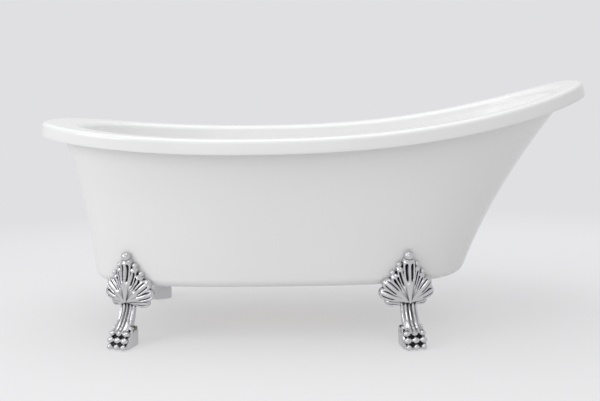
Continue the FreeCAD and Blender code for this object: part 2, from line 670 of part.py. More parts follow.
def petal(body, lean, root, angle, length, width, knob):
    """One lobe of the palmette: a club turned about its own axis, with a round knob on its tip."""
    dip = math.degrees(math.atan((sheet.leaf_root_proud - sheet.leaf_tip_proud) / length))
    corners = [(0, root), (sheet.petal_root_radius, root)]
    slant = math.radians(sheet.petal_taper)
    if knob:
        neck = 0.7 * knob
        base = length - knob - math.sqrt(knob ** 2 - neck ** 2)
        middle = base - math.sqrt(width ** 2 - neck ** 2)
        corners += [(width * math.cos(slant), middle + width * math.sin(slant), width),
                    (neck, base, knob), (0, length)]
    else:
        corners += [(width * math.cos(slant), length - width * (1 - math.sin(slant)), width), (0, length)]
    corners = [tuple(map(plain, corner)) + ("right",) * (len(corner) > 2) for corner in corners]
    return step(body, "Revolution", profile(body, "XZ_Plane", corners,
                                            leaf_frame(lean, angle, dip, sheet.leaf_root_proud)))


def trim_back(body, lean, low):
    """The flat back of the leaf, leaning as the skirt does, from a low edge up past the top."""
    tall, reach, slope = "leaf_root_height * 2.5", "shelf_depth * 3", plain(math.tan(math.radians(lean)))
    step(body, "Pocket", profile(body, "YZ_Plane", [
        ("(stud_height - %s) * %s - seat_gap" % (low, slope), low), (reach, low), (reach, tall),
        ("(stud_height - %s) * %s - seat_gap" % (tall, slope), tall)]), Type="ThroughAll", Midplane=True)


def cast_foot(end, lean):
    body = add_body("claw_foot_" + end, is_part=False)
    petal(body, lean, 0, *CENTRE_LOBE)
    lobes = [petal(body, lean, 3 * row, *lobe) for row, lobe in enumerate(SIDE_LOBES, start=1)]
    mirrored = body.newObject("PartDesign::Mirrored", "leaf_mirror")
    mirrored.Originals = lobes
    middle = next(datum for datum in body.Origin.OriginFeatures if datum.Role == "YZ_Plane")
    mirrored.MirrorPlane = (middle, [""])
    body.Tip = mirrored

    # raised body of the leaf, behind the lobes
    back = -(sheet.dome_place - sheet.stud_height) * math.tan(math.radians(lean))
    for name, sunk, wide, narrow, high in (("lower", "4", "dome_radius", "dome_radius * 0.8", "dome_height * 0.6"),
                                           ("upper", "-dome_height * 0.6 + 1", "dome_radius * 0.83",
                                            "dome_radius * 0.4", "dome_height * 0.4 + 1")):
        cone = body.newObject("PartDesign::AdditiveCone", "leaf_body_" + name)
        cone.setExpression("Radius1", bound(wide))
        cone.setExpression("Radius2", bound(narrow))
        cone.setExpression("Height", bound(high + " + (%s + abs(%s)) / 2" % (sunk, sunk)))
        cone.Placement = Placement(Vector(0, back, sheet.dome_place), Rotation(X_AXIS, 90 + lean)) \
            * Placement(Vector(0, 0, -number(sunk)), Rotation())
    trim_back(body, lean, "0")

    # leg, shelf and paw, drawn from the side
    step(body, "Pad", profile(body, "YZ_Plane", [
        ("-leg_knee_reach", "leg_knee_height", "leg_front_radius", "left"),
        ("-leg_knee_reach - leg_front_radius"
         " + sqrt(leg_front_radius ^ 2 - (leg_knee_height - ankle_height) ^ 2)",
         "ankle_height"),
        ("-leg_back_foot", "ankle_height - 8", "leg_back_radius", "right"),
        ("-leg_back_reach", "skirt_base_height - shelf_thickness"),
        ("-leg_back_reach", "skirt_base_height"), ("-leg_knee_reach * 0.2", "skirt_base_height + 6")]),
        "leg_half_width * 2", Midplane=True)
    step(body, "Pad", profile(body, "YZ_Plane", [
        ("-paw_back - 6", "ankle_height - 6"), ("-ankle_reach", "ankle_height + 4"),
        ("-paw_front + 18", "ankle_height - 8"), ("-paw_front + 6", "ankle_height - 28"),
        ("-paw_front", "ankle_height - 48"), ("-paw_front + 2", "sole_height"),
        ("-paw_back - 4", "sole_height"),
        ("-paw_back + 2", "sole_height + 14"), ("-paw_back", "ankle_height - 28")]),
        "paw_half_width * 2", Midplane=True)
    bead, neck, swell = "toe_length / 3", "toe_neck", "sqrt((toe_length / 6) ^ 2 + toe_neck ^ 2)"
    for side in (-1, 0, 1):
        place = Placement(Vector(-sheet.toe_root_reach, sheet.toe_root_height, side * sheet.toe_pitch),
                          Rotation(Z_AXIS, 90 + sheet.toe_slope))
        step(body, "Revolution", profile(body, "YZ_Plane", [
            ("0", "0"), (neck, "0", swell, "right"), (neck, bead, swell, "right"),
            (neck, bead + " * 2", swell, "right"), ("0", "toe_length / 2 + toe_length / 3 + " + swell)], place))

    trim_back(body, lean, "skirt_base_height")
    step(body, "Pad", profile(body, "YZ_Plane", [
        ("-shelf_nose", "skirt_base_height - shelf_thickness"),
        ("shelf_depth", "skirt_base_height - shelf_thickness"), ("shelf_depth", "skirt_base_height"),
        ("-shelf_nose", "skirt_base_height")]), "shelf_half_width * 2", Midplane=True)

    # flutes down the front of the leg, about the centre of its curve
    flutes = [("flute_pitch * %d" % count, "leg_front_radius - flute_lift") for count in (-2, -1, 0, 1, 2)]
    step(body, "Groove", circles(body, "XY_Plane", flutes, "flute_radius",
                                 Placement(Vector(0, -sheet.leg_knee_reach - sheet.leg_front_radius,
                                                  sheet.leg_knee_height + 3), Rotation())),
         axis="H_Axis", angle=50, Reversed=True)

    # holes for the stud, the bolt and the leveller
    step(body, "Pocket", circles(body, "XZ_Plane", [("0", "0")], "stud_radius + thread_clearance",
                                 Placement(Vector(0, sheet.stud_height, 0), Rotation(X_AXIS, lean))),
         "seat_gap + stud_bite", Reversed=True)
    step(body, "Pocket", circles(body, "XY_Plane", [("0", "bolt_inset")], "bolt_radius + hole_clearance"),
         Type="ThroughAll", Midplane=True)
    step(body, "Pocket", circles(body, "XY_Plane", [("0", "-leveller_reach")], "pad_radius + pad_side_gap"),
         "pad_height + socket_gap", Reversed=True)
    step(body, "Pocket", circles(body, "XY_Plane", [("0", "-leveller_reach")],
                                 "level_screw_radius + running_clearance"),
         "pad_height + level_screw_length + screw_spare", Reversed=True)
    return body


for end, lean in LEANS.items():
    claw_foot = cast_foot(end, lean)
    for side in ("front_", "rear_"):
        add_group("claw_foot_" + side + end, claw_foot, [FEET[side + end]])
document.recompute()


# --- Levellers: a screw in each sole, turned by hand at its knurled pad -----------------------------

LEVELLER_LINE = Placement(Vector(0, -sheet.leveller_reach, 0), Rotation())
levelling_screw = turned("levelling_screw", [
    ("0", "pad_height - collar_height"), ("collar_radius", "pad_height - collar_height"),
    ("collar_radius", "pad_height"), ("level_screw_radius", "pad_height"),
    ("level_screw_radius", "pad_height + level_screw_length - 1"),
    ("level_screw_radius - 1", "pad_height + level_screw_length"),
    ("0", "pad_height + level_screw_length")], is_part=False)
glide_pad = turned("glide_pad", [
    ("0", "0"), ("pad_radius - 1.5", "0"), ("pad_radius", "1.5"), ("pad_radius", "pad_height"),
    ("collar_radius + running_clearance", "pad_height"),
    ("collar_radius + running_clearance", "pad_height - collar_height"), ("0", "pad_height - collar_height")],
    is_part=False)
for corner, foot in FEET.items():
    add_group("levelling_screw_" + corner, levelling_screw, [foot.multiply(LEVELLER_LINE)])
    add_group("glide_pad_" + corner, glide_pad, [foot.multiply(LEVELLER_LINE)])


# --- Waste: a flange through the floor, clamped by a nut, over a body that takes the overflow -------

def on_waste(body):
    body.setExpression("Placement.Base.x", bound(WASTE_PLACE))
    body.setExpression("Placement.Base.z", bound(FLOOR_HEIGHT))
    return body


flange_low, flange_top = "gasket_height", "gasket_height + waste_flange_height"
bore = "waste_tube_radius - waste_tube_wall"
waste_flange = on_waste(turned("waste_flange", [
    (bore, "gasket_height - waste_tube_drop"), ("waste_tube_radius", "gasket_height - waste_tube_drop"),
    ("waste_tube_radius", flange_low), ("waste_flange_radius", flange_low),
    ("waste_flange_radius", "gasket_height + waste_flange_height / 2"),
    ("waste_flange_radius - waste_flange_height", flange_top), ("waste_tube_radius + 3", flange_top),
    (bore, "gasket_height - 1")]))
step(waste_flange, "Pad", circles(waste_flange, "XY_Plane", [("0", "0")], "spider_boss",
                                  Placement(Vector(0, 0, -sheet.spider_drop), Rotation())), "spider_height")
for turn in (0, 90):
    step(waste_flange, "Pad", profile(waste_flange, "XY_Plane", [
        ("-waste_tube_radius + 1", "-spider_arm / 2"), ("waste_tube_radius - 1", "-spider_arm / 2"),
        ("waste_tube_radius - 1", "spider_arm / 2"), ("-waste_tube_radius + 1", "spider_arm / 2")],
        Placement(Vector(0, 0, -sheet.spider_drop), Rotation(Z_AXIS, turn))), "spider_height")
step(waste_flange, "Pocket", circles(waste_flange, "XY_Plane", [("0", "0")],
                                     "plug_stem_radius + running_clearance"), Type="ThroughAll", Midplane=True)

tube_fit = "waste_tube_radius + thread_clearance"
on_waste(turned("waste_gasket", ring_section(tube_fit, "gasket_radius", "0", "gasket_height")))
on_waste(turned("lower_waste_gasket", ring_section(
    tube_fit, "gasket_radius", "-basin_wall - gasket_height", "-basin_wall")))
back_nut = on_waste(add_body("waste_back_nut"))
step(back_nut, "Pad", profile(back_nut, "XY_Plane", hexagon("back_nut_radius"), Placement(
    Vector(0, 0, -sheet.basin_wall - sheet.gasket_height), Rotation())), "back_nut_height", Reversed=True)
step(back_nut, "Pocket", circles(back_nut, "XY_Plane", [("0", "0")], tube_fit), Type="ThroughAll",
     Midplane=True)

nut_low = "-basin_wall - gasket_height - back_nut_height"
body_low = nut_low + " - waste_body_drop"
chamber = "waste_body_radius - waste_body_wall"
waste_body = on_waste(turned("waste_body", [
    (tube_fit, nut_low + " - 1"), (tube_fit, nut_low + " - waste_thread"),
    (chamber, nut_low + " - waste_thread - 3"), (chamber, body_low + " + tail_grip * 1.6"),
    ("tail_radius - tail_wall", body_low + " + tail_grip"),
    ("tail_radius - tail_step + thread_clearance", body_low + " + tail_grip"),
    ("tail_radius - tail_step + thread_clearance", body_low), ("tail_radius + waste_body_wall", body_low),
    ("tail_radius + waste_body_wall", body_low + " + tail_grip"),
    ("waste_body_radius", body_low + " + tail_grip * 1.6"), ("waste_body_radius", nut_low + " - 1")]))
reach = "waste_body_radius + spigot_length"
step(waste_body, "Pad", circles(waste_body, "YZ_Plane", [("0", "-spigot_drop")], "spigot_radius",
                                Placement(Vector(0, 0, -number(reach)), Rotation())),
     "spigot_length + waste_body_wall / 2")
step(waste_body, "Pocket", circles(waste_body, "YZ_Plane", [("0", "-spigot_drop")],
                                   "spigot_radius - spigot_wall",
                                   Placement(Vector(0, 0, -number(reach) - 1), Rotation())),
     "spigot_length + waste_body_wall + 5", Reversed=True)
tail_low = body_low + " + tail_grip - tail_length"
on_waste(turned("waste_tailpiece", [
    ("tail_radius - tail_wall", tail_low), ("tail_radius", tail_low), ("tail_radius", body_low),
    ("tail_radius - tail_step", body_low), ("tail_radius - tail_step", body_low + " + tail_grip"),
    ("tail_radius - tail_wall", body_low + " + tail_grip")]))
plug_low = "gasket_height + waste_flange_height + running_clearance"
waste_plug = on_waste(turned("waste_plug", [
    ("0", plug_low + " - plug_stem_length"), ("plug_stem_radius - 1", plug_low + " - plug_stem_length"),
    ("plug_stem_radius", plug_low + " - plug_stem_length + 1"), ("plug_stem_radius", plug_low),
    ("plug_radius", plug_low), ("plug_radius", plug_low + " + plug_height * 0.4"),
    ("plug_radius * 0.9", plug_low + " + plug_height * 0.75"),
    ("plug_radius * 0.6", plug_low + " + plug_height"), ("0", plug_low + " + plug_height")]))


# --- Overflow: a plate inside the bath, an elbow behind it, and the hose down to the waste ----------
# Its drawings have their Z axis square to the foot-end wall, into the bath, and X down the wall.

def on_overflow(body):
    body.Placement = OVERFLOW_LINE
    return body


plate_low = "overflow_seat"
on_overflow(turned("overflow_plate", [
    ("overflow_screw_radius + screw_clearance", plate_low),
    ("overflow_plate_radius - 2", plate_low), ("overflow_plate_radius", plate_low + " + 1"),
    ("overflow_plate_radius", plate_low + " + overflow_plate_height * 0.45"),
    ("overflow_plate_radius * 0.86", plate_low + " + overflow_plate_height * 0.8"),
    ("overflow_plate_radius * 0.55", plate_low + " + overflow_plate_height"),
    ("overflow_screw_radius + screw_clearance", plate_low + " + overflow_plate_height")]))
gasket_face = "-basin_wall - overflow_back_gap"
box_face = gasket_face + " - overflow_gasket_height"
on_overflow(turned("overflow_gasket", ring_section(
    "overflow_box_radius - overflow_box_wall - 2", "overflow_box_radius", box_face, gasket_face)))
elbow = on_overflow(turned("overflow_elbow", [
    ("0", box_face + " - overflow_box_depth"),
    ("overflow_box_radius - 4", box_face + " - overflow_box_depth"),
    ("overflow_box_radius", box_face + " - overflow_box_depth + 4"), ("overflow_box_radius", box_face),
    ("overflow_box_radius - overflow_box_wall", box_face),
    ("overflow_box_radius - overflow_box_wall", box_face + " - overflow_box_depth + overflow_box_wall + 3"),
    ("overflow_box_radius - overflow_box_wall - 3", box_face + " - overflow_box_depth + overflow_box_wall"),
    ("spider_boss", box_face + " - overflow_box_depth + overflow_box_wall"), ("spider_boss", box_face),
    ("overflow_screw_radius + thread_clearance", box_face),
    ("overflow_screw_radius + thread_clearance", box_face + " - overflow_screw_bite"),
    ("0", box_face + " - overflow_screw_bite")]))
hose_line = box_face + " - overflow_box_depth + overflow_box_wall + spigot_radius"
step(elbow, "Pad", circles(elbow, "YZ_Plane", [("0", hose_line)], "spigot_radius",
                           Placement(Vector(0, 0, sheet.overflow_box_radius - sheet.overflow_box_wall / 2),
                                     Rotation())), "spigot_length")
step(elbow, "Pocket", circles(elbow, "YZ_Plane", [("0", hose_line)], "spigot_radius - spigot_wall",
                              Placement(Vector(0, 0, sheet.overflow_box_radius - sheet.overflow_box_wall - 2),
                                        Rotation())), "spigot_length + 10", Reversed=True)
on_overflow(turned("overflow_screw", [
    ("0", box_face + " - overflow_screw_bite + 1"), ("overflow_screw_radius", box_face + " - overflow_screw_bite + 1"),
    ("overflow_screw_radius", plate_low + " + overflow_plate_height"),
    ("overflow_screw_head", plate_low + " + overflow_plate_height"),
    ("overflow_screw_head * 0.7", plate_low + " + overflow_plate_height + overflow_screw_head / 2"),
    ("0", plate_low + " + overflow_plate_height + overflow_screw_head / 2")]))


# --- Hose from the elbow to the waste body: straight runs joined by tangent arcs ---------------------

def bent_line(points, radii):
    """One wire along the points, with an arc at each corner between them."""
    edges, here = [], points[0]
    for before, corner, after, radius in zip(points, points[1:], points[2:], radii):
        way_in, way_out = (corner - before).normalize(), (after - corner).normalize()
        half_turn = way_in.getAngle(way_out) / 2
        start = corner - way_in * radius * math.tan(half_turn)
        stop = corner + way_out * radius * math.tan(half_turn)
        middle = corner + (way_out - way_in).normalize() * radius * (1 / math.cos(half_turn) - 1)
        edges += [Part.LineSegment(here, start).toShape(), Part.Arc(start, middle, stop).toShape()]
        here = stop
    return Part.Wire(edges + [Part.LineSegment(here, points[-1]).toShape()])


def hose_shape():
    """Off the elbow's spigot, down between the shells, and under the rail to the waste's spigot."""
    start = OVERFLOW_LINE.multVec(Vector(sheet.overflow_box_radius + sheet.hose_start, 0, number(hose_line)))
    down = OVERFLOW_LINE.Rotation.multVec(X_AXIS)
    finish = number(WASTE_PLACE + " - waste_body_radius - hose_start")
    route = bent_line([start, start + down * sheet.hose_first_run,
                       Vector(sheet.hose_mid_inset - HALF_LENGTH, 0, FLOOR + sheet.hose_mid_rise),
                       Vector(sheet.hose_low_inset - HALF_LENGTH, 0, FLOOR + sheet.hose_low_rise),
                       Vector(sheet.hose_drop_inset - HALF_LENGTH, 0, FLOOR - sheet.spigot_drop),
                       Vector(finish, 0, FLOOR - sheet.spigot_drop)],
                      [sheet.hose_curve, sheet.hose_curve, sheet.hose_curve, sheet.hose_bend])
    bore = sheet.spigot_radius + sheet.hose_fit
    outside, inside = (route.makePipeShell([Part.Wire(Part.Circle(start, down, radius).toShape())], True, False)
                       for radius in (bore + sheet.hose_wall, bore))
    hose = outside.cut(inside)
    section = math.pi * ((bore + sheet.hose_wall) ** 2 - bore ** 2)
    print("hose: length %.1f, volume over section times length %.4f"
          % (route.Length, hose.Volume / section / route.Length))
    return hose


add_shape("overflow_hose", hose_shape())
hose_outside = "spigot_radius + hose_fit + hose_wall"
hose_clip = turned("hose_clip", ring_section(hose_outside + " + hose_fit", hose_outside + " + hose_fit + clip_wall",
                                             "0", "clip_width"), is_part=False)
add_group("hose_clips", hose_clip, [
    OVERFLOW_LINE.multiply(Placement(Vector(sheet.overflow_box_radius + sheet.hose_start + 3, 0,
                                            number(hose_line)), Rotation(Y_AXIS, 90))),
    Placement(Vector(number(WASTE_PLACE + " - waste_body_radius - hose_start - 3"), 0,
                     FLOOR - sheet.spigot_drop),
              Rotation(Y_AXIS, -90))])


# --- Every feature is sound before any file is written ---------------------------------------------

document.recompute()
for item in document.Objects:
    if {"Invalid", "Error"} & set(item.State):
        raise RuntimeError("%s failed: %s" % (item.Label, item.State))
for part in parts:
    if part.Shape.isNull() or not part.Shape.isValid():
        raise RuntimeError("%s has no sound shape" % part.Label)

os.makedirs("parts", exist_ok=True)
for part in parts:
    part.Shape.exportStep("parts/%s.step" % part.Label)
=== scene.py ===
import math

import bpy
import numpy as np
from mathutils import Matrix, Vector


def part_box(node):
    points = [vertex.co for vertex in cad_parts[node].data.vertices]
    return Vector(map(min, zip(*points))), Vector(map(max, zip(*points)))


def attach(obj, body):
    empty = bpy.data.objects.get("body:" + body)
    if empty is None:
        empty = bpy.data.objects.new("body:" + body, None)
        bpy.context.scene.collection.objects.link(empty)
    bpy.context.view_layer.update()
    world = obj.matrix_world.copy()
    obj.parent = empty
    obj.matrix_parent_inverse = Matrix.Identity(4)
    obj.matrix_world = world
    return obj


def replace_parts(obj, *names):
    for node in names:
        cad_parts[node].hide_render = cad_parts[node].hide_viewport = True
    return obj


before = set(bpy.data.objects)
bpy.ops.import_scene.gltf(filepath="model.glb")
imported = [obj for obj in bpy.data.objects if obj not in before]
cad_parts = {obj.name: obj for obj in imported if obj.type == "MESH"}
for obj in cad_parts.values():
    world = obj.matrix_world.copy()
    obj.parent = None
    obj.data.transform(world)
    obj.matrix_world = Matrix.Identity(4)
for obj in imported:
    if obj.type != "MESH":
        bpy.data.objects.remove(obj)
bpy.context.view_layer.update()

scene = bpy.context.scene
scene.view_settings.view_transform = "Standard"


# --- Camera -------------------------------------------------------------------------------------
# A short telephoto at rim height, a little right of square to the front, looking slightly down.
# Its place is worked out from what it looks at: a point on the bath's centre line.

LOOK_AT = Vector((-0.0386, 0, 0.3976))
CAMERA_DISTANCE = 2.557
CAMERA_TURN, CAMERA_DIP, CAMERA_ROLL = (math.radians(degrees) for degrees in (2.0, 8.72, -1.17))
CAMERA_LENS = 46.8

ahead = Vector((-math.sin(CAMERA_TURN) * math.cos(CAMERA_DIP),
                math.cos(CAMERA_TURN) * math.cos(CAMERA_DIP), -math.sin(CAMERA_DIP)))
level_right = Vector((math.cos(CAMERA_TURN), math.sin(CAMERA_TURN), 0))
level_up = level_right.cross(ahead)
right = level_right * math.cos(CAMERA_ROLL) + level_up * math.sin(CAMERA_ROLL)
up = level_up * math.cos(CAMERA_ROLL) - level_right * math.sin(CAMERA_ROLL)

camera = bpy.data.objects.new("camera", bpy.data.cameras.new("camera"))
camera.data.lens = CAMERA_LENS
camera.matrix_world = Matrix.Translation(LOOK_AT - ahead * CAMERA_DISTANCE) @ \
    Matrix((right, up, -ahead)).transposed().to_4x4()
scene.collection.objects.link(camera)
scene.camera = camera


# --- Studio -------------------------------------------------------------------------------------
# A pale paper floor that runs out into pale air of the same shade. The bath is lit by that air and
# by three large soft lamps: one overhead, one to the left and a weak one in front.

class Signal:
    """A value, colour or vector on its way through a material: one output of a shader node.
    Arithmetic on it adds Math nodes, and node() adds any other node."""

    def __init__(self, tree, socket=None):
        self.tree = tree
        self.socket = socket

    def node(self, kind, settings, inputs, output=0):
        """Adds a node: its settings first, then the values or links of its sockets."""
        made = self.tree.nodes.new("ShaderNode" + kind)
        for name, value in settings.items():
            setattr(made, name, value)
        for name, value in inputs.items():
            if isinstance(value, Signal):
                self.tree.links.new(value.socket, made.inputs[name])
            else:
                made.inputs[name].default_value = value
        return Signal(self.tree, made.outputs[output])

    def maths(self, operation, *values):
        return self.node("Math", {"operation": operation}, dict(enumerate(values)))

    def __add__(self, other):
        return self.maths("ADD", self, other)

    __radd__ = __add__

    def __sub__(self, other):
        return self.maths("SUBTRACT", self, other)

    def __mul__(self, other):
        return self.maths("MULTIPLY", self, other)

    __rmul__ = __mul__

    def clamped(self):
        return self.node("Clamp", {}, {"Value": self})

    def between(self, low, high):
        """The colour from low to high, with this signal as the share. On a Mix node that works on
        colours, socket 0 is the share, 6 and 7 are the two colours, and output 2 is the result."""
        return self.node("Mix", {"data_type": "RGBA"}, {0: self, 6: (*low, 1), 7: (*high, 1)}, 2)

    def noise(self, scale, detail=2.0):
        """Soft noise from 0 to 1 at a scale per metre, where this signal is the place."""
        return self.node("TexNoise", {}, {"Vector": self, "Scale": scale, "Detail": detail})

    def bump(self, strength, distance):
        """The normal of a surface raised by this signal, by up to a distance in metres."""
        return self.node("Bump", {}, {"Height": self, "Strength": strength, "Distance": distance})


def new_material(name):
    """An empty material, and a Signal that carries each point's place on the bath in metres."""
    material = bpy.data.materials.new(name)
    material.use_nodes = True
    material.node_tree.nodes.clear()
    start = Signal(material.node_tree)
    return material, start.node("TexCoord", {}, {}, "Object")


def finished(material, signal, **inputs):
    """Ends a material in one Principled shader, whose sockets take the given values or signals."""
    sockets = {name.replace("_", " ").title().replace("Ior", "IOR"): value
               for name, value in inputs.items()}
    shader = signal.node("BsdfPrincipled", {}, sockets)
    end = material.node_tree.nodes.new("ShaderNodeOutputMaterial")
    material.node_tree.links.new(shader.socket, end.inputs["Surface"])
    return material


def add_object(name, mesh):
    """An object of this mesh, put into the scene at the origin."""
    made = bpy.data.objects.new(name, mesh)
    scene.collection.objects.link(made)
    return made


def surface(name, grids, wrap_rows=False, wrap_columns=False):
    """A mesh on grids of points, rows by columns, whose rows or columns may close on themselves."""
    corners, start = [], 0
    for grid in grids:
        index = start + np.arange(grid.shape[0] * grid.shape[1]).reshape(grid.shape[:2])
        start += index.size
        if wrap_rows:
            index = np.vstack((index, index[:1]))
        if wrap_columns:
            index = np.hstack((index, index[:, :1]))
        squares = (index[:-1, :-1], index[:-1, 1:], index[1:, 1:], index[1:, :-1])
        corners.append(np.stack(squares, -1).reshape(-1, 4))
    mesh = bpy.data.meshes.new(name)
    mesh.from_pydata(np.concatenate([grid.reshape(-1, 3) for grid in grids]), [],
                     np.concatenate(corners).tolist())
    mesh.shade_smooth()
    return mesh


def full_turn(steps):
    """Angles round a full turn in equal steps, in radians."""
    return np.linspace(0, 2 * math.pi, steps, endpoint=False)


FLOOR_RADIUS = 14.0
PAPER_SHADE, AIR_SHADE = (0.76, 0.76, 0.765, 1), (0.66, 0.66, 0.66)
NEAR_SHADE, FAR_SHADE = (0.85, 0.85, 0.865), (0.745, 0.745, 0.76)
# The shares on the floor grow with the distance from the bath, which counts for less along it.
ALONG_WEIGHT = 0.62
SHADE_START, SHADE_RATE = 0.8, 0.7
GLOW_START, GLOW_RATE, GLOW_NEAR, GLOW_GAIN = 0.6, 1.1, 0.56, 0.44


def seen_share(start):
    """1 for the rays that show a thing, straight or in a reflection, and 0 for those that light."""
    kinds = ("Is Camera Ray", "Is Glossy Ray", "Is Transmission Ray")
    return sum(start.node("LightPath", {}, {}, kind) for kind in kinds).clamped()


def studio_floor():
    """Lit paper that keeps the shadows near the bath, and fades outwards to the air's own shade."""
    material, place = new_material("studio_floor")
    weights = (ALONG_WEIGHT, 1, 1)
    weighed = place.node("VectorMath", {"operation": "MULTIPLY"}, {0: place, 1: weights})
    away = place.node("VectorMath", {"operation": "LENGTH"}, {0: weighed}, "Value")
    shade = ((away - SHADE_START) * SHADE_RATE).clamped().between(NEAR_SHADE, FAR_SHADE)
    paper = place.node("BsdfDiffuse", {}, {"Color": PAPER_SHADE})
    glow = place.node("Emission", {}, {"Color": shade})
    glowing = GLOW_NEAR + GLOW_GAIN * ((away - GLOW_START) * GLOW_RATE).clamped()
    share = seen_share(place) * glowing
    mixed = place.node("MixShader", {}, {0: share, 1: paper, 2: glow})
    end = material.node_tree.nodes.new("ShaderNodeOutputMaterial")
    material.node_tree.links.new(mixed.socket, end.inputs["Surface"])
    return material


def disc_points():
    """A flat disc: circles round the bath's middle, (r cos t, r sin t, 0), from a point out."""
    turn = full_turn(96)[None, :]
    out = np.array((0, 0.1, 1))[:, None] * FLOOR_RADIUS
    return np.stack((out * np.cos(turn), out * np.sin(turn), 0 * out * turn), -1)


studio = add_object("studio_floor", surface("studio_floor", [disc_points()], wrap_columns=True))
studio.data.materials.append(studio_floor())

air = bpy.data.worlds.new("studio_air")
scene.world = air
air.use_nodes = True
air.node_tree.nodes.clear()
start = Signal(air.node_tree)
air_shade = seen_share(start).between(AIR_SHADE, FAR_SHADE)
sky = start.node("Background", {}, {"Color": air_shade, "Strength": 1.0})
world_end = air.node_tree.nodes.new("ShaderNodeOutputWorld")
air.node_tree.links.new(sky.socket, world_end.inputs["Surface"])


def soft_lamp(name, place, aim, size, power):
    """A square lamp at one place, turned to face another. Its size in metres, power in watts."""
    lamp = bpy.data.objects.new(name, bpy.data.lights.new(name, "AREA"))
    lamp.data.size = size
    lamp.data.energy = power
    lamp.location = place
    lamp.rotation_euler = (Vector(aim) - Vector(place)).to_track_quat("-Z", "Y").to_euler()
    scene.collection.objects.link(lamp)


soft_lamp("overhead_lamp", (-0.2, -0.4, 3.0), aim=(0, 0, 0.4), size=2.6, power=34)
soft_lamp("left_lamp", (-3.0, -2.0, 1.8), aim=(0, 0, 0.4), size=1.8, power=28)
soft_lamp("front_lamp", (-0.8, -4.2, 0.9), aim=(0, 0, 0.2), size=2.4, power=10)


# --- Basin --------------------------------------------------------------------------------------
# One sheet of cast acrylic, drawn hot into the bowl and its crowned rim, with glass fibre behind.
# The rim's edge follows the sheer: level at the waist and raised towards the head end.

basin_low, basin_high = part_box("basin")
HALF_LENGTH = 0.850
HALF_WIDTH = (basin_high.y - basin_low.y) / 2
WAIST_PLACE, WAIST_HEIGHT, FOOT_HEIGHT, HEAD_HEIGHT = -0.150, 0.618, 0.672, 0.768
FOOT_SHEER_POWER, HEAD_SHEER_POWER = 2.1, 2.4
RIM_SQUARENESS, RIM_BAND, RIM_LEAN = 2.7, 0.034, 0.8
BAND_WALL, DECK_WALL, BASIN_WALL = 0.005, 0.006, 0.007
CROWN_HEIGHT, CROWN_INSET, EDGE_ROUND, RIM_ROLL = 0.009, 0.014, 0.004, 0.020
DECKS = np.array((0.112, 0.068, 0.066))
FLOOR_HEIGHT, FLOOR_SQUARENESS = 0.225, 3.2
FLOOR_ENDS = np.array((0.575, 0.330, 0.190))
WALL_RAKES = np.array((0.65, 0.85, 0.6))
WASTE_PLACE, WASTE_HOLE = -0.440, 0.025

TURNS = full_turn(384)
SLOPE_STEP = 0.001
CREASE_ANGLE = math.radians(30)
# Rows of the floor as shares from the waste hole to the wall, rows of the deck as shares of its
# level part, and rows of the band: each one's inset from the band's face and depth below the edge.
FLOOR_SHARES = (0, 0.02, 0.1, 0.3, 0.6, 0.9, 0.98)
DECK_SHARES = (0.8, 0.6, 0.4, 0.2, 0)
BAND_ROWS = ((0, 0.010), (0, 0.018), (0, 0.026), (0, RIM_BAND - 0.003), (0.0005, RIM_BAND - 0.001),
             (0.0015, RIM_BAND), (BAND_WALL - 0.001, RIM_BAND), (BAND_WALL, RIM_BAND - 0.001),
             (BAND_WALL, DECK_WALL + 0.002))
ACRYLIC_DARK, ACRYLIC_LIGHT = (0.80, 0.80, 0.805), (0.83, 0.83, 0.83)
# Scales per metre of the acrylic's clouds, its ripple and the fine change in its gloss.
CLOUD_SCALE, RIPPLE_SCALE, GLOSS_SCALE = 2.5, 9.0, 30.0


def sheer(x):
    """Height of the rim's edge at each x: it rises by a power of the distance from the waist."""
    foot_share = np.clip((WAIST_PLACE - x) / (WAIST_PLACE + HALF_LENGTH), 0, None)
    head_share = np.clip((x - WAIST_PLACE) / (HALF_LENGTH - WAIST_PLACE), 0, None)
    return WAIST_HEIGHT + (FOOT_HEIGHT - WAIST_HEIGHT) * foot_share ** FOOT_SHEER_POWER \
        + (HEAD_HEIGHT - WAIST_HEIGHT) * head_share ** HEAD_SHEER_POWER


def sheer_slope(x):
    """The slope of the rim's edge at each x, from its heights just before and just after."""
    return (sheer(x + SLOPE_STEP) - sheer(x - SLOPE_STEP)) / (2 * SLOPE_STEP)


def outline(ends, squareness, turn=TURNS):
    """A superellipse in plan: |x/a|^n + |y/b|^n = 1, from its foot end, head end and half-width."""
    along, across = np.cos(turn), np.sin(turn)
    reach = (abs(along) ** squareness + abs(across) ** squareness) ** (-1 / squareness)
    return np.stack(((ends[1] - ends[0]) / 2 + (ends[1] + ends[0]) / 2 * along * reach,
                     ends[2] * across * reach), -1)


RIM_ENDS = np.array((HALF_LENGTH + RIM_LEAN * RIM_BAND * sheer_slope(SLOPE_STEP - HALF_LENGTH),
                     HALF_LENGTH - RIM_LEAN * RIM_BAND * sheer_slope(HALF_LENGTH - SLOPE_STEP),
                     HALF_WIDTH))
WALL_TOPS = RIM_ENDS - DECKS
RIM_EDGE, RIM_INNER = (outline(ends, RIM_SQUARENESS) for ends in (RIM_ENDS, WALL_TOPS))
DECK_WIDTH = np.linalg.norm(RIM_EDGE - RIM_INNER, axis=1)


def raised(plan, height):
    """Points of a plan lifted to one height, or each to its own."""
    return np.concatenate((plan, np.broadcast_to(height, plan.shape[:1])[:, None]), 1)


def rim_row(inset, rise):
    """Points round the rim, inset from its edge and above it, leaning square to the sheer."""
    share = (inset / DECK_WIDTH)[:, None]
    plan = RIM_EDGE + (RIM_INNER - RIM_EDGE) * share
    height = sheer(plan[:, 0]) + rise
    plan[:, 0] -= RIM_LEAN * sheer_slope(plan[:, 0]) * rise * (1 - share[:, 0])
    return raised(plan, height)


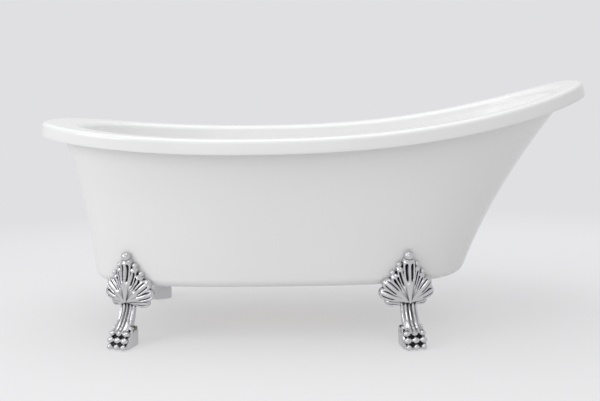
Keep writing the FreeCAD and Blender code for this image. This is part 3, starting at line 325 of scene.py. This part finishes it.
def bowl_row(angle, grow, rise):
    """Points round the bowl's wall, which sweeps as a quarter ellipse from floor to rim: it rises
    by 1 - cos t and spreads by a mean of that and sin t, in which each end's rake is the weight."""
    rising, spreading = 1 - math.cos(angle), math.sin(angle)
    spread = WALL_RAKES * rising + (1 - WALL_RAKES) * spreading
    ends = FLOOR_ENDS + (WALL_TOPS - FLOOR_ENDS) * spread + grow
    squareness = FLOOR_SQUARENESS + (RIM_SQUARENESS - FLOOR_SQUARENESS) * rising
    low = FLOOR_HEIGHT - grow
    return raised(outline(ends, squareness), low + (sheer(RIM_INNER[:, 0]) + rise - low) * rising)


def floor_rows(row, shares):
    """Level rows from the waste hole out to a given row, along straight lines from the hole."""
    centre = np.array((WASTE_PLACE, 0, row[0, 2]))
    spoke = row - centre
    hole = centre + spoke * WASTE_HOLE / np.linalg.norm(spoke, axis=1, keepdims=True)
    return [hole + (row - hole) * share for share in shares]


def basin_rows():
    """The basin's whole section, carried round: floor, wall, rolled rim, band, back, underside."""
    quarter = np.radians(np.linspace(0, 90, 46))
    wall = [bowl_row(angle, 0, CROWN_HEIGHT - RIM_ROLL) for angle in quarter]
    roll = [rim_row(DECK_WIDTH - RIM_ROLL * (1 - math.cos(angle)),
                    CROWN_HEIGHT - RIM_ROLL * (1 - math.sin(angle))) for angle in quarter[5::5]]
    deck = [rim_row(CROWN_INSET + (DECK_WIDTH - RIM_ROLL - CROWN_INSET) * share, CROWN_HEIGHT)
            for share in DECK_SHARES]
    shoulder = [rim_row(CROWN_INSET * (1 - math.sin(angle)),
                        (CROWN_HEIGHT + EDGE_ROUND) * math.cos(angle) - EDGE_ROUND)
                for angle in quarter[4::4]]
    band = [rim_row(inset, -depth) for inset, depth in BAND_ROWS]
    back = [bowl_row(angle, BASIN_WALL, -DECK_WALL) for angle in quarter[::-3]]
    rows = floor_rows(wall[0], FLOOR_SHARES) + wall + roll + deck + shoulder + band + back
    return np.array(rows + floor_rows(back[-1], FLOOR_SHARES[::-1]))


def closed_surface(name, rows):
    """A shell whose section and girth both close, creased where its faces meet at a sharp angle."""
    mesh = surface(name, [rows], wrap_rows=True, wrap_columns=True)
    mesh.set_sharp_from_angle(angle=CREASE_ANGLE)
    return add_object(name, mesh)


def acrylic():
    """Glossy white acrylic: a trace of warmth in broad clouds, and a drawn sheet's slow ripple."""
    material, place = new_material("white_acrylic")
    clouds = place.noise(CLOUD_SCALE)
    ripple = place.noise(RIPPLE_SCALE, detail=1.0)
    return finished(material, place, base_color=clouds.between(ACRYLIC_DARK, ACRYLIC_LIGHT),
                    roughness=0.09 + 0.05 * place.noise(GLOSS_SCALE), ior=1.49,
                    normal=ripple.bump(strength=0.10, distance=0.002))


ACRYLIC = acrylic()
basin = closed_surface("basin_shell", basin_rows())
basin.data.flip_normals()
basin.data.materials.append(ACRYLIC)
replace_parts(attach(basin, "root"), "basin")


# --- Outer skirt --------------------------------------------------------------------------------
# The second acrylic shell, bonded under the rim. It rounds under at the foot into a level flange,
# to which the board and the feet are fixed.

SKIRT_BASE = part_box("outer_skirt")[0].z
SKIRT_WALL, SKIRT_ROUND, FLANGE_REACH, BOND_LINE = 0.005, 0.028, 0.077, 0.0003
SKIRT_BASE_SQUARENESS, SKIRT_TOP_SQUARENESS = 3.0, 2.8
SKIRT_BASES = np.array((0.705, 0.478, 0.268))
SKIRT_TOPS = RIM_ENDS - np.array((0.055, 0.030, 0.044))
SKIRT_BOWS = np.array((0.78, 0.40, 0.40))
# Rows across a level face, as shares of it: two close to its edges keep the edges crisp.
FACE_SHARES = (0.02, 0.5, 0.98)


def skirt_top(grow=0):
    """The row where the skirt meets the rim's underside, a straight line from band to bowl."""
    plan = outline(SKIRT_TOPS + grow, SKIRT_TOP_SQUARENESS)
    outer = rim_row(BAND_WALL, -DECK_WALL)
    inner = bowl_row(math.pi / 2, BASIN_WALL, -DECK_WALL)
    across = (inner - outer)[:, :2]
    share = np.sum(across * (plan - outer[:, :2]), 1) / np.sum(across ** 2, 1)
    there = outer + (inner - outer) * share[:, None]
    return raised(plan, there[:, 2] + sheer(plan[:, 0]) - sheer(there[:, 0]) - BOND_LINE)


def skirt_row(height, grow=0, turn=TURNS, top=None):
    """Points round the skirt at a height, whose ends run out by a parabola from base to top:
    (1 - bow) s + bow s^2. Below its round, r - sqrt(r^2 - d^2) is taken off them."""
    base, radius = SKIRT_BASE - grow, SKIRT_ROUND + grow
    top = skirt_top(grow)[:, 2] if top is None else top
    rising = ((height - base) / (top - base))[:, None]
    spread = (1 - SKIRT_BOWS) * rising + SKIRT_BOWS * rising ** 2
    below = np.maximum(0, base + radius - height)
    ends = SKIRT_BASES + (SKIRT_TOPS - SKIRT_BASES) * spread + grow
    ends = ends - (radius - np.sqrt(np.maximum(0, radius ** 2 - below ** 2)))[:, None]
    squarer = SKIRT_TOP_SQUARENESS - SKIRT_BASE_SQUARENESS
    squareness = SKIRT_BASE_SQUARENESS + squarer * rising[:, 0]
    return raised(outline(ends.T, squareness, turn), height)


def skirt_wall_rows(grow):
    """The skirt's turned-under foot and its wall, from the flange up."""
    base, radius, top = SKIRT_BASE - grow, SKIRT_ROUND + grow, skirt_top(grow)[:, 2]
    foot = [skirt_row(np.full(len(TURNS), base + radius * (1 - math.cos(angle))), grow)
            for angle in np.radians(np.linspace(0, 90, 13))]
    wall = [skirt_row(base + radius + (top - base - radius) * share, grow)
            for share in np.linspace(0.02, 1, 40)]
    return foot + wall


def skirt_rows():
    """The skirt's section, carried round: flange, foot, outer wall, top, inner wall, flange top."""
    tips = outline(SKIRT_BASES - FLANGE_REACH, SKIRT_BASE_SQUARENESS)
    outer, inner = skirt_wall_rows(0), skirt_wall_rows(-SKIRT_WALL)[::-1]
    tip_low, tip_high = raised(tips, SKIRT_BASE), raised(tips, SKIRT_BASE + SKIRT_WALL)
    flange = [tip_low + (outer[0] - tip_low) * share for share in (0, *FACE_SHARES)]
    top = [inner[-1] + (tip_high - inner[-1]) * share for share in (*FACE_SHARES, 1)]
    return np.array(flange + outer + inner + top)


skirt = closed_surface("skirt_shell", skirt_rows())
skirt.data.materials.append(ACRYLIC)
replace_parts(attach(skirt, "root"), "outer_skirt")


# --- Base board and rails -----------------------------------------------------------------------
# Plywood bonded under the bath's floor spreads the load. Two folded steel rails, powder coated
# satin black, cross beneath it from foot to foot and are screwed up into it.

GRAIN_STRETCH = (4, 60, 60)
PLY_PITCH = 0.0028
VEIN_SHARE, PLY_SHARE = 0.8, 0.14
VENEER_DARK, VENEER_LIGHT = (0.62, 0.44, 0.26), (0.80, 0.64, 0.43)
COAT_DARK, COAT_LIGHT = (0.018, 0.018, 0.019), (0.030, 0.030, 0.032)


def finish(name, low, high, metallic, roughness, cloud, grain, depth):
    """A finish whose colour drifts from low to high in clouds, and its gloss in clouds a third of
    their size, over a fine grain. Cloud and grain are scales per metre, and depth is in metres."""
    material, place = new_material(name)
    clouds = place.noise(cloud)
    return finished(material, place, base_color=clouds.between(low, high), metallic=metallic,
                    roughness=roughness + 0.15 * place.noise(3 * cloud),
                    normal=place.noise(grain, detail=3.0).bump(strength=0.5, distance=depth))


def plywood():
    """Birch face veneer with its grain along the bath, over plies that show at the edges."""
    material, place = new_material("birch_plywood")
    grain = place.node("VectorMath", {"operation": "MULTIPLY"}, {0: place, 1: GRAIN_STRETCH})
    veins = grain.noise(2.0, detail=6.0)
    height = place.node("SeparateXYZ", {}, {"Vector": place}, "Z")
    plies = height.maths("SINE", height * (2 * math.pi / PLY_PITCH))
    shade = (veins * VEIN_SHARE + plies * PLY_SHARE).clamped()
    return finished(material, place, base_color=shade.between(VENEER_DARK, VENEER_LIGHT),
                    roughness=0.55 + 0.2 * veins,
                    normal=veins.bump(strength=0.3, distance=0.0006))


def dress(material, *nodes):
    """Gives CAD pieces a finish."""
    for node in nodes:
        for slot in bpy.data.objects[node].material_slots:
            slot.material = material


dress(plywood(), "base_board")
dress(finish("satin_black_coat", COAT_DARK, COAT_LIGHT, metallic=0, roughness=0.34,
             cloud=14, grain=900, depth=0.0002), "cross_rail_left", "cross_rail_right")


# --- Fasteners ----------------------------------------------------------------------------------
# Steel screws, bolts, studs, nuts, washers and the hose's clips, bright zinc plated. The plating
# clouds a little in damp air.

ZINC_DARK, ZINC_BRIGHT = (0.50, 0.51, 0.53), (0.70, 0.71, 0.72)
dress(finish("zinc_plate", ZINC_DARK, ZINC_BRIGHT, metallic=1, roughness=0.24,
             cloud=90, grain=1500, depth=0.00005),
      "board_screws", "foot_bolts", "rail_washers", "rail_nuts", "foot_studs", "backing_washers",
      "stud_nuts", "hose_clips")


# --- Claw feet ----------------------------------------------------------------------------------
# Four castings, polished and chromed: a palmette leaf that lies on the skirt, a fluted leg and a
# knobbed paw. A stud through the skirt and a bolt through the shelf hold each one.

STUD_HEIGHT, SEAT_GAP = 0.238, 0.0005
FOOT_STATIONS = {"left": -0.555, "right": 0.285}
LEAF_ROOT = 0.135
LEAF_TOP = 0.286
# Lobes of the leaf: angle from level, length, half-width, how far its root lies below the proudest
# one's, and the radius of the knob on its tip. The side lobes are made on both sides.
CENTRE_LOBE = (90, 0.136, 0.0185, 0, 0.0150)
SIDE_LOBES = ((76, 0.112, 0.0125, 0.003, 0.0090), (61, 0.096, 0.0130, 0.004, 0.0085),
              (40, 0.096, 0.0180, 0.005, 0), (17, 0.090, 0.0180, 0.006, 0),
              (-6, 0.068, 0.0150, 0.008, 0))
LEAF_ROOT_REACH, LEAF_TIP_HEIGHT = 0.034, 0.006
# A lobe's width: its least share, the share it gains, and from where to where along the lobe.
LOBE_ROOT, LOBE_SWELL, SWELL_START, SWELL_END = 0.12, 0.88, -0.1, 0.75
# Its rib's height over its half-width, and the shares of the spine at the tip and gained behind it.
RIB_HEIGHT, SPINE_AT_TIP, SPINE_GAIN = 0.62, 0.55, 0.45
# Its two flutes: their place on the way out to each edge, and the shares of the length between
# which they deepen. Then each kind's width and depth: lobes that bear a knob have the greater ones.
FLUTE_PLACE, FLUTE_START, FLUTE_FULL = 0.46, 0.40, 0.56
KNOBBED_FLUTE, PLAIN_FLUTE = (0.24, 1), (0.15, 0.45)
# The hood that ends the flutes: the shares of the length between which it closes them, its height
# over the half-width, and how far ahead of them it begins to rise.
KNOBBED_HOOD, PLAIN_HOOD = (0.80, 0.88), (0.90, 0.97)
HOOD_HEIGHT, HOOD_LEAD = 0.20, 0.08
# How far a knob's centre lies past its lobe's end and above its tip, in radii.
KNOB_PAST, KNOB_ABOVE = 0.1, 0.35
# The web between the lobes: its reach over theirs, its drop at the root, and its edge's height.
WEB_REACH, WEB_DROP, WEB_EDGE = 0.90, 0.010, 0.002
# The leaf's profiles fall from root to tip by this power of the share that is left.
LEAF_FALL = 0.8
# The leg: its ends and its knee, the radius of its front arc, its flutes, how it widens to the foot
# and the shoulder, and its back, which runs out by a power of the way down.
LEG_TOP, LEG_FOOT, LEG_CURVE, KNEE_HEIGHT, KNEE_REACH = 0.165, 0.050, 0.100, 0.142, 0.022
LEG_HALF_WIDTH, FLUTE_PITCH, FLUTE_DEPTH, FLUTE_EDGE = 0.0245, 0.0112, 0.0036, 0.0005
LEG_FLARE, LEG_SHOULDER, LEG_SQUARENESS = 0.12, 0.10, 4.5
LEG_BACK, LEG_BACK_RUN, LEG_BACK_POWER, LEG_TUCK = -0.006, 0.030, 1.3, 0.012
TUCK_START, SHOULDER_START = 0.128, 0.11
# Flutes reach their depth between these distances in front of the leg's middle.
FLUTE_SIDE = (0.004, 0.012)
SHELF_HALF_WIDTH, SHELF_DEPTH, SHELF_THICKNESS, SHELF_NOSE = 0.027, 0.072, 0.010, 0.010
# The paw's block, whose round starts at a share of its height. Its sole, top width and top reach
# are each a least share and what the rest of the height adds to it. Squareness is the
# superellipse's power: 2 is round, and more is squarer.
PAW_HALF_WIDTH, PAW_BACK, PAW_FRONT, PAW_HEIGHT, SOLE_HEIGHT = 0.037, 0.012, 0.089, 0.058, 0.0015
PAW_SLOPE, PAW_SLOPE_POWER, PAW_ROUND_START, PAW_ROUND = 0.035, 1.6, 0.7, 0.32
SOLE_SHARE, SOLE_GAIN, SOLE_ROUND = 0.94, 0.06, 0.12
TOP_WIDTH, TOP_WIDTH_GAIN, TOP_REACH, TOP_REACH_GAIN = 0.78, 0.22, 0.75, 0.25
PAW_SQUARENESS, SHELF_SQUARENESS, SHELF_GAP = 4.0, 12, 0.0004
TOE_PITCH = 0.0235
# Beads of a toe: reach from the origin, height, and half-sizes across, along and up.
TOE_BEADS = ((0.068, 0.0465, 0.0118, 0.0110, 0.0090), (0.080, 0.0290, 0.0120, 0.0100, 0.0095),
             (0.0870, 0.0105, 0.0090, 0.0090, 0.0088))
# Beads of the tuft where the leg meets the paw.
TUFT_PITCH, TUFT_REACH, TUFT_BOW, TUFT_HEIGHT = 0.0098, 0.056, 0.003, 0.0575
TUFT_SIZES = (0.0046, 0.0085, 0.0080)
LEVELLER_REACH, PAD_POCKET_RADIUS, PAD_POCKET_DEPTH = 0.048, 0.020, 0.0053
SCREW_HOLE_RADIUS, SCREW_HOLE_DEPTH, CUTTER_START = 0.0051, 0.041, -0.01
# How finely each form is drawn: rows along it and points across or round it.
LOBE_ROWS, LOBE_POINTS, BEAD_ROWS, BEAD_POINTS = 90, 61, 25, 32
WEB_SPAN, WEB_ROWS, WEB_POINTS = (-12, 192), 103, 40
LEG_ROWS, PAW_ROWS, GIRTH_POINTS, DRUM_POINTS = 60, 40, 160, 64
# Points along the skirt's front half, and how many either side of a foot give its heading.
FRONT_POINTS, HEADING_SPAN = 18001, 50
# The grid the forms are fused on, in metres, and the rounds of polishing and of easing.
CASTING_GRAIN, POLISH_SHARE, POLISH_ROUNDS, EASING_ROUNDS = 0.0012, 0.5, 5, 40
# The chrome's own colour, and the near black of the shade painted into its hollows.
CHROME_BRIGHT, CHROME_PAINTED_SHADE = (0.63, 0.63, 0.645), (0.02, 0.02, 0.022)
# Painted shade and dullness start a little below a hollow's rim, and grow this much with each
# millimetre.
DARKENING, DARKENING_START = 1.1, 0.05


def ease(value, low, high):
    """Smooth step: 0 below low, 1 above high, and 3t^2 - 2t^3 between them."""
    share = np.clip((value - low) / (high - low), 0, 1)
    return share * share * (3 - 2 * share)


def on_leaf(lean, across, up, height):
    """Points of the leaf in its foot's frame, from places on its sloping back, and heights."""
    slope = math.radians(lean)
    root_back = -(LEAF_ROOT - STUD_HEIGHT) * math.tan(slope) - SEAT_GAP
    height = np.maximum(height, 0)
    return np.stack((across, root_back - up * math.sin(slope) - height * math.cos(slope),
                     LEAF_ROOT + up * math.cos(slope) - height * math.sin(slope)), -1)


def capped(points):
    """Rows of points with both ends closed: each end row shrinks to its middle."""
    first, last = (0 * points[:1] + row.mean(0) for row in (points[0], points[-1]))
    return np.concatenate((first, points, last))


def root_height(lean, drop):
    """A lobe's height over the sloping back at its root, for one reach in front of the seat."""
    slope = math.radians(lean)
    return LEAF_ROOT_REACH - drop - (LEAF_ROOT - STUD_HEIGHT) * math.tan(slope) - SEAT_GAP


def lobe(lean, angle, length, half_width, drop, knob):
    """One lobe: a swelling rib with a rounded head. Its section is half an ellipse, from which two
    flutes are scooped by exp(-((|v| - place) / width)^2), ending under a hood near the head."""
    along = np.linspace(0, 1, LOBE_ROWS)[:, None]
    across = np.cos(np.linspace(math.pi, 0, LOBE_POINTS))[None, :]
    head = 1 - half_width / length
    round_end = np.sqrt(np.clip(1 - np.clip((along - head) / (1 - head), 0, 1) ** 2, 0, 1))
    swell = LOBE_ROOT + LOBE_SWELL * ease(along, SWELL_START, SWELL_END)
    width = half_width * swell * round_end
    hood_start, hood_end = KNOBBED_HOOD if knob else PLAIN_HOOD
    flute_width, flute_depth = KNOBBED_FLUTE if knob else PLAIN_FLUTE
    slot = ease(along, FLUTE_START, FLUTE_FULL) * (1 - ease(along, hood_start, hood_end)) \
        * flute_depth
    scoop = np.exp(-((abs(across) - FLUTE_PLACE) / flute_width) ** 2)
    rise = root_height(lean, drop) - LEAF_TIP_HEIGHT
    spine = LEAF_TIP_HEIGHT + rise * (1 - along) ** LEAF_FALL
    hood = HOOD_HEIGHT * half_width * ease(along, hood_start - HOOD_LEAD, hood_end) * round_end
    top = spine * (SPINE_AT_TIP + SPINE_GAIN * round_end) \
        + (RIB_HEIGHT * width + hood) * np.sqrt(1 - across ** 2) - RIB_HEIGHT * width * slot * scoop
    turn = math.radians(angle)
    reach, side = length * np.broadcast_to(along, top.shape), width * across
    sideways = reach * math.cos(turn) + side * math.sin(turn)
    upwards = reach * math.sin(turn) - side * math.cos(turn)
    return capped(on_leaf(lean, np.hstack((sideways, sideways[:, ::-1])),
                          np.hstack((upwards, upwards[:, ::-1])), np.hstack((top, 0 * top))))


def bead(centre, sizes):
    """An ellipsoid in latitude and longitude, from its centre and half-sizes."""
    tilt = np.linspace(0, math.pi, BEAD_ROWS)[:, None]
    turn = full_turn(BEAD_POINTS)[None, :]
    across, along = np.sin(tilt) * np.cos(turn), np.sin(tilt) * np.sin(turn)
    ball = np.stack(np.broadcast_arrays(across, along, np.cos(tilt)), -1)
    return np.array(centre) + np.array(sizes) * ball


def knob_of(lean, angle, length, half_width, drop, knob):
    """The round knob that sits on a lobe's head, a little proud of it."""
    turn, reach = math.radians(angle), length + KNOB_PAST * knob
    centre = on_leaf(lean, np.array(reach * math.cos(turn)), np.array(reach * math.sin(turn)),
                     np.array(LEAF_TIP_HEIGHT + KNOB_ABOVE * knob))
    return bead(centre, (knob, knob, knob))


def web(lean):
    """The leaf's body between the lobes: a fan whose edge follows their tips, and is lower."""
    lobes = sorted([CENTRE_LOBE, *SIDE_LOBES])
    angle = np.linspace(*WEB_SPAN, WEB_ROWS)[:, None]
    folded = np.where(angle > 90, 180 - angle, angle)
    length = WEB_REACH * np.interp(folded, [shape[0] for shape in lobes],
                                   [shape[1] for shape in lobes])
    outwards = np.linspace(0, 1, WEB_POINTS)
    out = np.concatenate((outwards, np.linspace(1, 0, WEB_POINTS)))[None, :]
    root = root_height(lean, WEB_DROP)
    top = WEB_EDGE + (root - WEB_EDGE) * (1 - out) ** LEAF_FALL + 0 * angle
    top[:, WEB_POINTS:] = 0
    return capped(on_leaf(lean, length * out * np.cos(np.radians(angle)),
                          length * out * np.sin(np.radians(angle)), top))


def upright(rows):
    """A body of level sections, each from its height, middle's reach, half-sizes and squareness."""
    turn = full_turn(GIRTH_POINTS)
    grids = []
    for height, middle, half_width, half_depth, squareness in rows:
        plan = outline((half_width, half_width, half_depth), squareness, turn)
        grids.append(raised(plan + (0, -middle), height))
    return capped(np.array(grids))


def leg():
    """The leg: level sections between a front arc and a sloping back. Its front is scooped into
    four flutes by sqrt |sin(pi x / pitch)|, where x is the place across before the leg widens."""
    rows = []
    for height in np.linspace(LEG_FOOT, LEG_TOP, LEG_ROWS):
        below = np.clip(KNEE_HEIGHT - height, 0, LEG_CURVE)
        front = KNEE_REACH + LEG_CURVE - math.sqrt(LEG_CURVE ** 2 - below ** 2) \
            - LEG_TUCK * ease(height, TUCK_START, LEG_TOP)
        fallen = (LEG_TOP - height) / (LEG_TOP - LEG_FOOT)
        back = LEG_BACK + LEG_BACK_RUN * fallen ** LEG_BACK_POWER
        widen = 1 + LEG_FLARE * (1 - height / LEG_TOP) \
            + LEG_SHOULDER * ease(height, SHOULDER_START, LEG_TOP)
        rows.append((height, (front + back) / 2, LEG_HALF_WIDTH * widen, (front - back) / 2,
                     LEG_SQUARENESS))
    points = upright(rows)
    middle = points[:, :, 1].mean(1, keepdims=True)
    ahead_of = ease(middle - points[:, :, 1], *FLUTE_SIDE)
    unspread = points[:, :, 0] / (1 + LEG_FLARE * (1 - points[:, :, 2] / LEG_TOP))
    scallop = np.sqrt(abs(np.sin(math.pi * unspread / FLUTE_PITCH)))
    inside = 1 - ease(abs(unspread), 2 * FLUTE_PITCH - FLUTE_EDGE, 2 * FLUTE_PITCH + FLUTE_EDGE)
    points[:, :, 1] += FLUTE_DEPTH * scallop * ahead_of * inside
    return points


def paw():
    """The paw's block: level sections whose front slopes back by a power of the height. They
    draw in by a quarter ellipse at the top, and a little at the sole."""
    rows = []
    for share in np.linspace(0, 1, PAW_ROWS):
        height = SOLE_HEIGHT + (PAW_HEIGHT - SOLE_HEIGHT) * share
        over = math.sqrt(1 - max(0, (share - PAW_ROUND_START) / PAW_ROUND) ** 2)
        under = SOLE_SHARE + SOLE_GAIN * ease(share, 0, SOLE_ROUND)
        reach = PAW_FRONT - PAW_SLOPE * share ** PAW_SLOPE_POWER - PAW_BACK
        front = PAW_BACK + reach * (TOP_REACH + TOP_REACH_GAIN * over) * under
        half_width = PAW_HALF_WIDTH * (TOP_WIDTH + TOP_WIDTH_GAIN * over) * under
        rows.append((height, (front + PAW_BACK) / 2, half_width, (front - PAW_BACK) / 2,
                     PAW_SQUARENESS))
    return upright(rows)


def shelf():
    """The shelf that reaches in under the skirt's flange to its bolt."""
    middle, half = (SHELF_NOSE - SHELF_DEPTH) / 2, (SHELF_NOSE + SHELF_DEPTH) / 2
    return upright([(SKIRT_BASE - drop, middle, SHELF_HALF_WIDTH, half, SHELF_SQUARENESS)
                    for drop in (SHELF_GAP, SHELF_THICKNESS / 2, SHELF_THICKNESS)])


def foot_parts(lean):
    """Every closed form of one foot, in its own frame: -Y outwards, the floor at height 0."""
    forms = [web(lean), leg(), paw(), shelf(), lobe(lean, *CENTRE_LOBE),
             knob_of(lean, *CENTRE_LOBE)]
    for side in (-1, 1):
        for shape in SIDE_LOBES:
            made = [lobe(lean, *shape)] + ([knob_of(lean, *shape)] if shape[-1] else [])
            forms += [points * (side, 1, 1) for points in made]
    for toe in (-1, 0, 1):
        for reach, height, *sizes in TOE_BEADS:
            forms.append(bead((toe * TOE_PITCH, -reach, height), sizes))
    for tuft in np.arange(-3, 4):
        forms.append(bead((tuft * TUFT_PITCH, -TUFT_REACH + TUFT_BOW * abs(tuft), TUFT_HEIGHT),
                          TUFT_SIZES))
    return forms


def evaluated(maker):
    """The mesh that an object's modifiers give, with the object taken away."""
    graph = bpy.context.evaluated_depsgraph_get()
    mesh = bpy.data.meshes.new_from_object(maker.evaluated_get(graph))
    bpy.data.objects.remove(maker)
    return mesh


def drum(name, radius, low, high):
    """A round cutter about a foot's leveller."""
    turn = full_turn(DRUM_POINTS)
    ring = np.stack((radius * np.cos(turn), radius * np.sin(turn) - LEVELLER_REACH, 0 * turn), -1)
    rows = capped(np.array((ring + (0, 0, low), ring + (0, 0, high))))
    return add_object(name, surface(name, [rows], wrap_columns=True))


def cast(lean):
    """One foot: its forms fused on a fine grid, eased as polishing does, and bored below."""
    maker = add_object("foot_pattern", surface("foot_pattern", foot_parts(lean), wrap_columns=True))
    fuse = maker.modifiers.new("fuse", "REMESH")
    fuse.mode = "VOXEL"
    fuse.voxel_size = CASTING_GRAIN
    polish = maker.modifiers.new("polish", "SMOOTH")
    polish.factor = POLISH_SHARE
    polish.iterations = POLISH_ROUNDS
    drums = [drum("pad_cutter", PAD_POCKET_RADIUS, CUTTER_START, PAD_POCKET_DEPTH),
             drum("screw_cutter", SCREW_HOLE_RADIUS, CUTTER_START, SCREW_HOLE_DEPTH)]
    for one in drums:
        bore = maker.modifiers.new("bore", "BOOLEAN")
        bore.operation = "DIFFERENCE"
        bore.object = one
    mesh = evaluated(maker)
    for one in drums:
        bpy.data.objects.remove(one)
    return mesh


def mark_recesses(mesh):
    """Stores how far each vertex lies below its own surroundings, in millimetres: the surface is
    eased by taking the mean of the neighbours many times, and the lift is along the normal."""
    count = len(mesh.vertices)
    places, normals = np.zeros(count * 3), np.zeros(count * 3)
    ends = np.zeros(len(mesh.edges) * 2, int)
    mesh.vertices.foreach_get("co", places)
    mesh.vertices.foreach_get("normal", normals)
    mesh.edges.foreach_get("vertices", ends)
    places, normals, ends = places.reshape(-1, 3), normals.reshape(-1, 3), ends.reshape(-1, 2)
    there, here = np.concatenate((ends, ends[:, ::-1])).T
    degree = np.maximum(np.bincount(here, minlength=count), 1)
    eased = places
    for _ in range(EASING_ROUNDS):
        eased = np.stack([np.bincount(here, eased[there, axis], count) / degree
                          for axis in range(3)], 1)
    hollow = 1000 * np.sum((eased - places) * normals, 1)
    recess = mesh.attributes.new("recess", "FLOAT", "POINT")
    recess.data.foreach_set("value", hollow.astype(np.float32))


def chrome_casting():
    """Chrome over a hand-polished casting: bright on ribs, duller in hollows, with painted shade
    there.
    """
    material, place = new_material("chromed_casting")
    recess = place.node("Attribute", {"attribute_name": "recess"}, {}, "Fac")
    # Painted shade: the colour darkens to near black in hollows in place of shadow, and the gloss
    # dulls there.
    painted_shade_and_dullness = (recess * DARKENING - DARKENING_START).clamped()
    cloud = place.noise(60.0, detail=3.0)
    return finished(material, place, metallic=1.0,
                    base_color=painted_shade_and_dullness.between(CHROME_BRIGHT, CHROME_PAINTED_SHADE),
                    roughness=0.07 + painted_shade_and_dullness * 0.22 + cloud * 0.06,
                    normal=place.noise(220.0).bump(strength=0.12, distance=0.0006))


def front_half(height):
    """The skirt's front half at one height, from its foot end to its head end in fine steps."""
    turns = np.radians(np.linspace(180, 360, FRONT_POINTS))
    top = np.interp(turns, TURNS, skirt_top()[:, 2])
    return skirt_row(np.full(len(turns), height), 0, turns, top)


def seat_of(end):
    """Where a front foot stands: the skirt's place and heading at the height of the foot's stud."""
    there = front_half(STUD_HEIGHT)
    at = np.searchsorted(there[:, 0], FOOT_STATIONS[end])
    before, after = there[at - HEADING_SPAN], there[at + HEADING_SPAN]
    return there[at], math.atan2(*(after - before)[1::-1])


def lean_of(seat, yaw):
    """The skirt's lean outwards straight behind a foot, from its rounded base to the leaf's top."""
    reach = []
    for height in (SKIRT_BASE + SKIRT_ROUND, LEAF_TOP):
        there = front_half(height) - seat
        aside = there[:, 0] * math.cos(yaw) + there[:, 1] * math.sin(yaw)
        out = there[:, 1] * math.cos(yaw) - there[:, 0] * math.sin(yaw)
        reach.append(np.interp(0, aside, out))
    return math.degrees(math.atan2(reach[0] - reach[1], LEAF_TOP - SKIRT_BASE - SKIRT_ROUND))


CHROME_CASTING = chrome_casting()
for end in FOOT_STATIONS:
    seat, yaw = seat_of(end)
    casting = cast(lean_of(seat, yaw))
    mark_recesses(casting)
    casting.materials.append(CHROME_CASTING)
    for side, across, turn in (("front", seat[1], yaw), ("rear", -seat[1], math.pi - yaw)):
        mesh = casting.copy()
        mesh.transform(Matrix.Translation((seat[0], across, 0)) @ Matrix.Rotation(turn, 4, "Z"))
        foot = add_object("claw_foot_%s_%s_casting" % (side, end), mesh)
        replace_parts(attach(foot, "root"),
                    "claw_foot_%s_%s" % (side, end))
    bpy.data.meshes.remove(casting)


# --- Levellers ----------------------------------------------------------------------------------
# A threaded steel rod is screwed up into each sole and turns in a hard rubber pad. Screwed out, it
# raises its corner until the bath stands level.

THREAD_PITCH = 0.0015
PAD_DARK, PAD_LIGHT = (0.045, 0.045, 0.047), (0.075, 0.075, 0.078)


def threaded():
    """Zinc plate over a rolled thread: rings up the rod by sin(2 pi z / pitch)."""
    material, place = new_material("zinc_thread")
    height = place.node("SeparateXYZ", {}, {"Vector": place}, "Z")
    rings = height.maths("SINE", height * (2 * math.pi / THREAD_PITCH))
    clouds = place.noise(90)
    return finished(material, place, base_color=clouds.between(ZINC_DARK, ZINC_BRIGHT),
                    metallic=1.0, roughness=0.26 + 0.15 * clouds,
                    normal=rings.bump(strength=0.6, distance=0.0004))


CORNERS = [side + "_" + end for side in ("front", "rear") for end in ("left", "right")]
dress(threaded(), *("levelling_screw_" + corner for corner in CORNERS))
dress(finish("pad_rubber", PAD_DARK, PAD_LIGHT, metallic=0, roughness=0.62,
             cloud=60, grain=1100, depth=0.0003), *("glide_pad_" + corner for corner in CORNERS))


# --- Waste --------------------------------------------------------------------------------------
# A chromed brass flange with a push plug in the bath's floor. A moulded nut clamps it on rubber,
# above a moulded body whose chromed tailpiece goes on to the drain.

CHROME_TRIM = finish("polished_chrome", (0.82, 0.82, 0.83), (0.87, 0.87, 0.88),
                     metallic=1, roughness=0.04, cloud=25, grain=700, depth=0.00003)
RUBBER = finish("black_rubber", (0.022, 0.022, 0.023), (0.040, 0.040, 0.042),
                metallic=0, roughness=0.58, cloud=70, grain=1300, depth=0.0002)
GREY_PLASTIC = finish("grey_plastic", (0.42, 0.43, 0.44), (0.48, 0.49, 0.50),
                      metallic=0, roughness=0.40, cloud=30, grain=1200, depth=0.0001)
dress(CHROME_TRIM, "waste_flange", "waste_plug", "waste_tailpiece")
dress(RUBBER, "waste_gasket", "lower_waste_gasket")
dress(GREY_PLASTIC, "waste_back_nut", "waste_body")


# --- Overflow -----------------------------------------------------------------------------------
# A chromed cover inside the foot end, screwed through the wall to a moulded elbow behind it. A
# milky hose, held by a clip at each end, runs from the elbow down to the waste's body.

dress(CHROME_TRIM, "overflow_plate", "overflow_screw")
dress(RUBBER, "overflow_gasket")
dress(GREY_PLASTIC, "overflow_elbow")
dress(finish("milky_hose", (0.66, 0.67, 0.66), (0.73, 0.74, 0.73),
             metallic=0, roughness=0.34, cloud=40, grain=500, depth=0.0002), "overflow_hose")
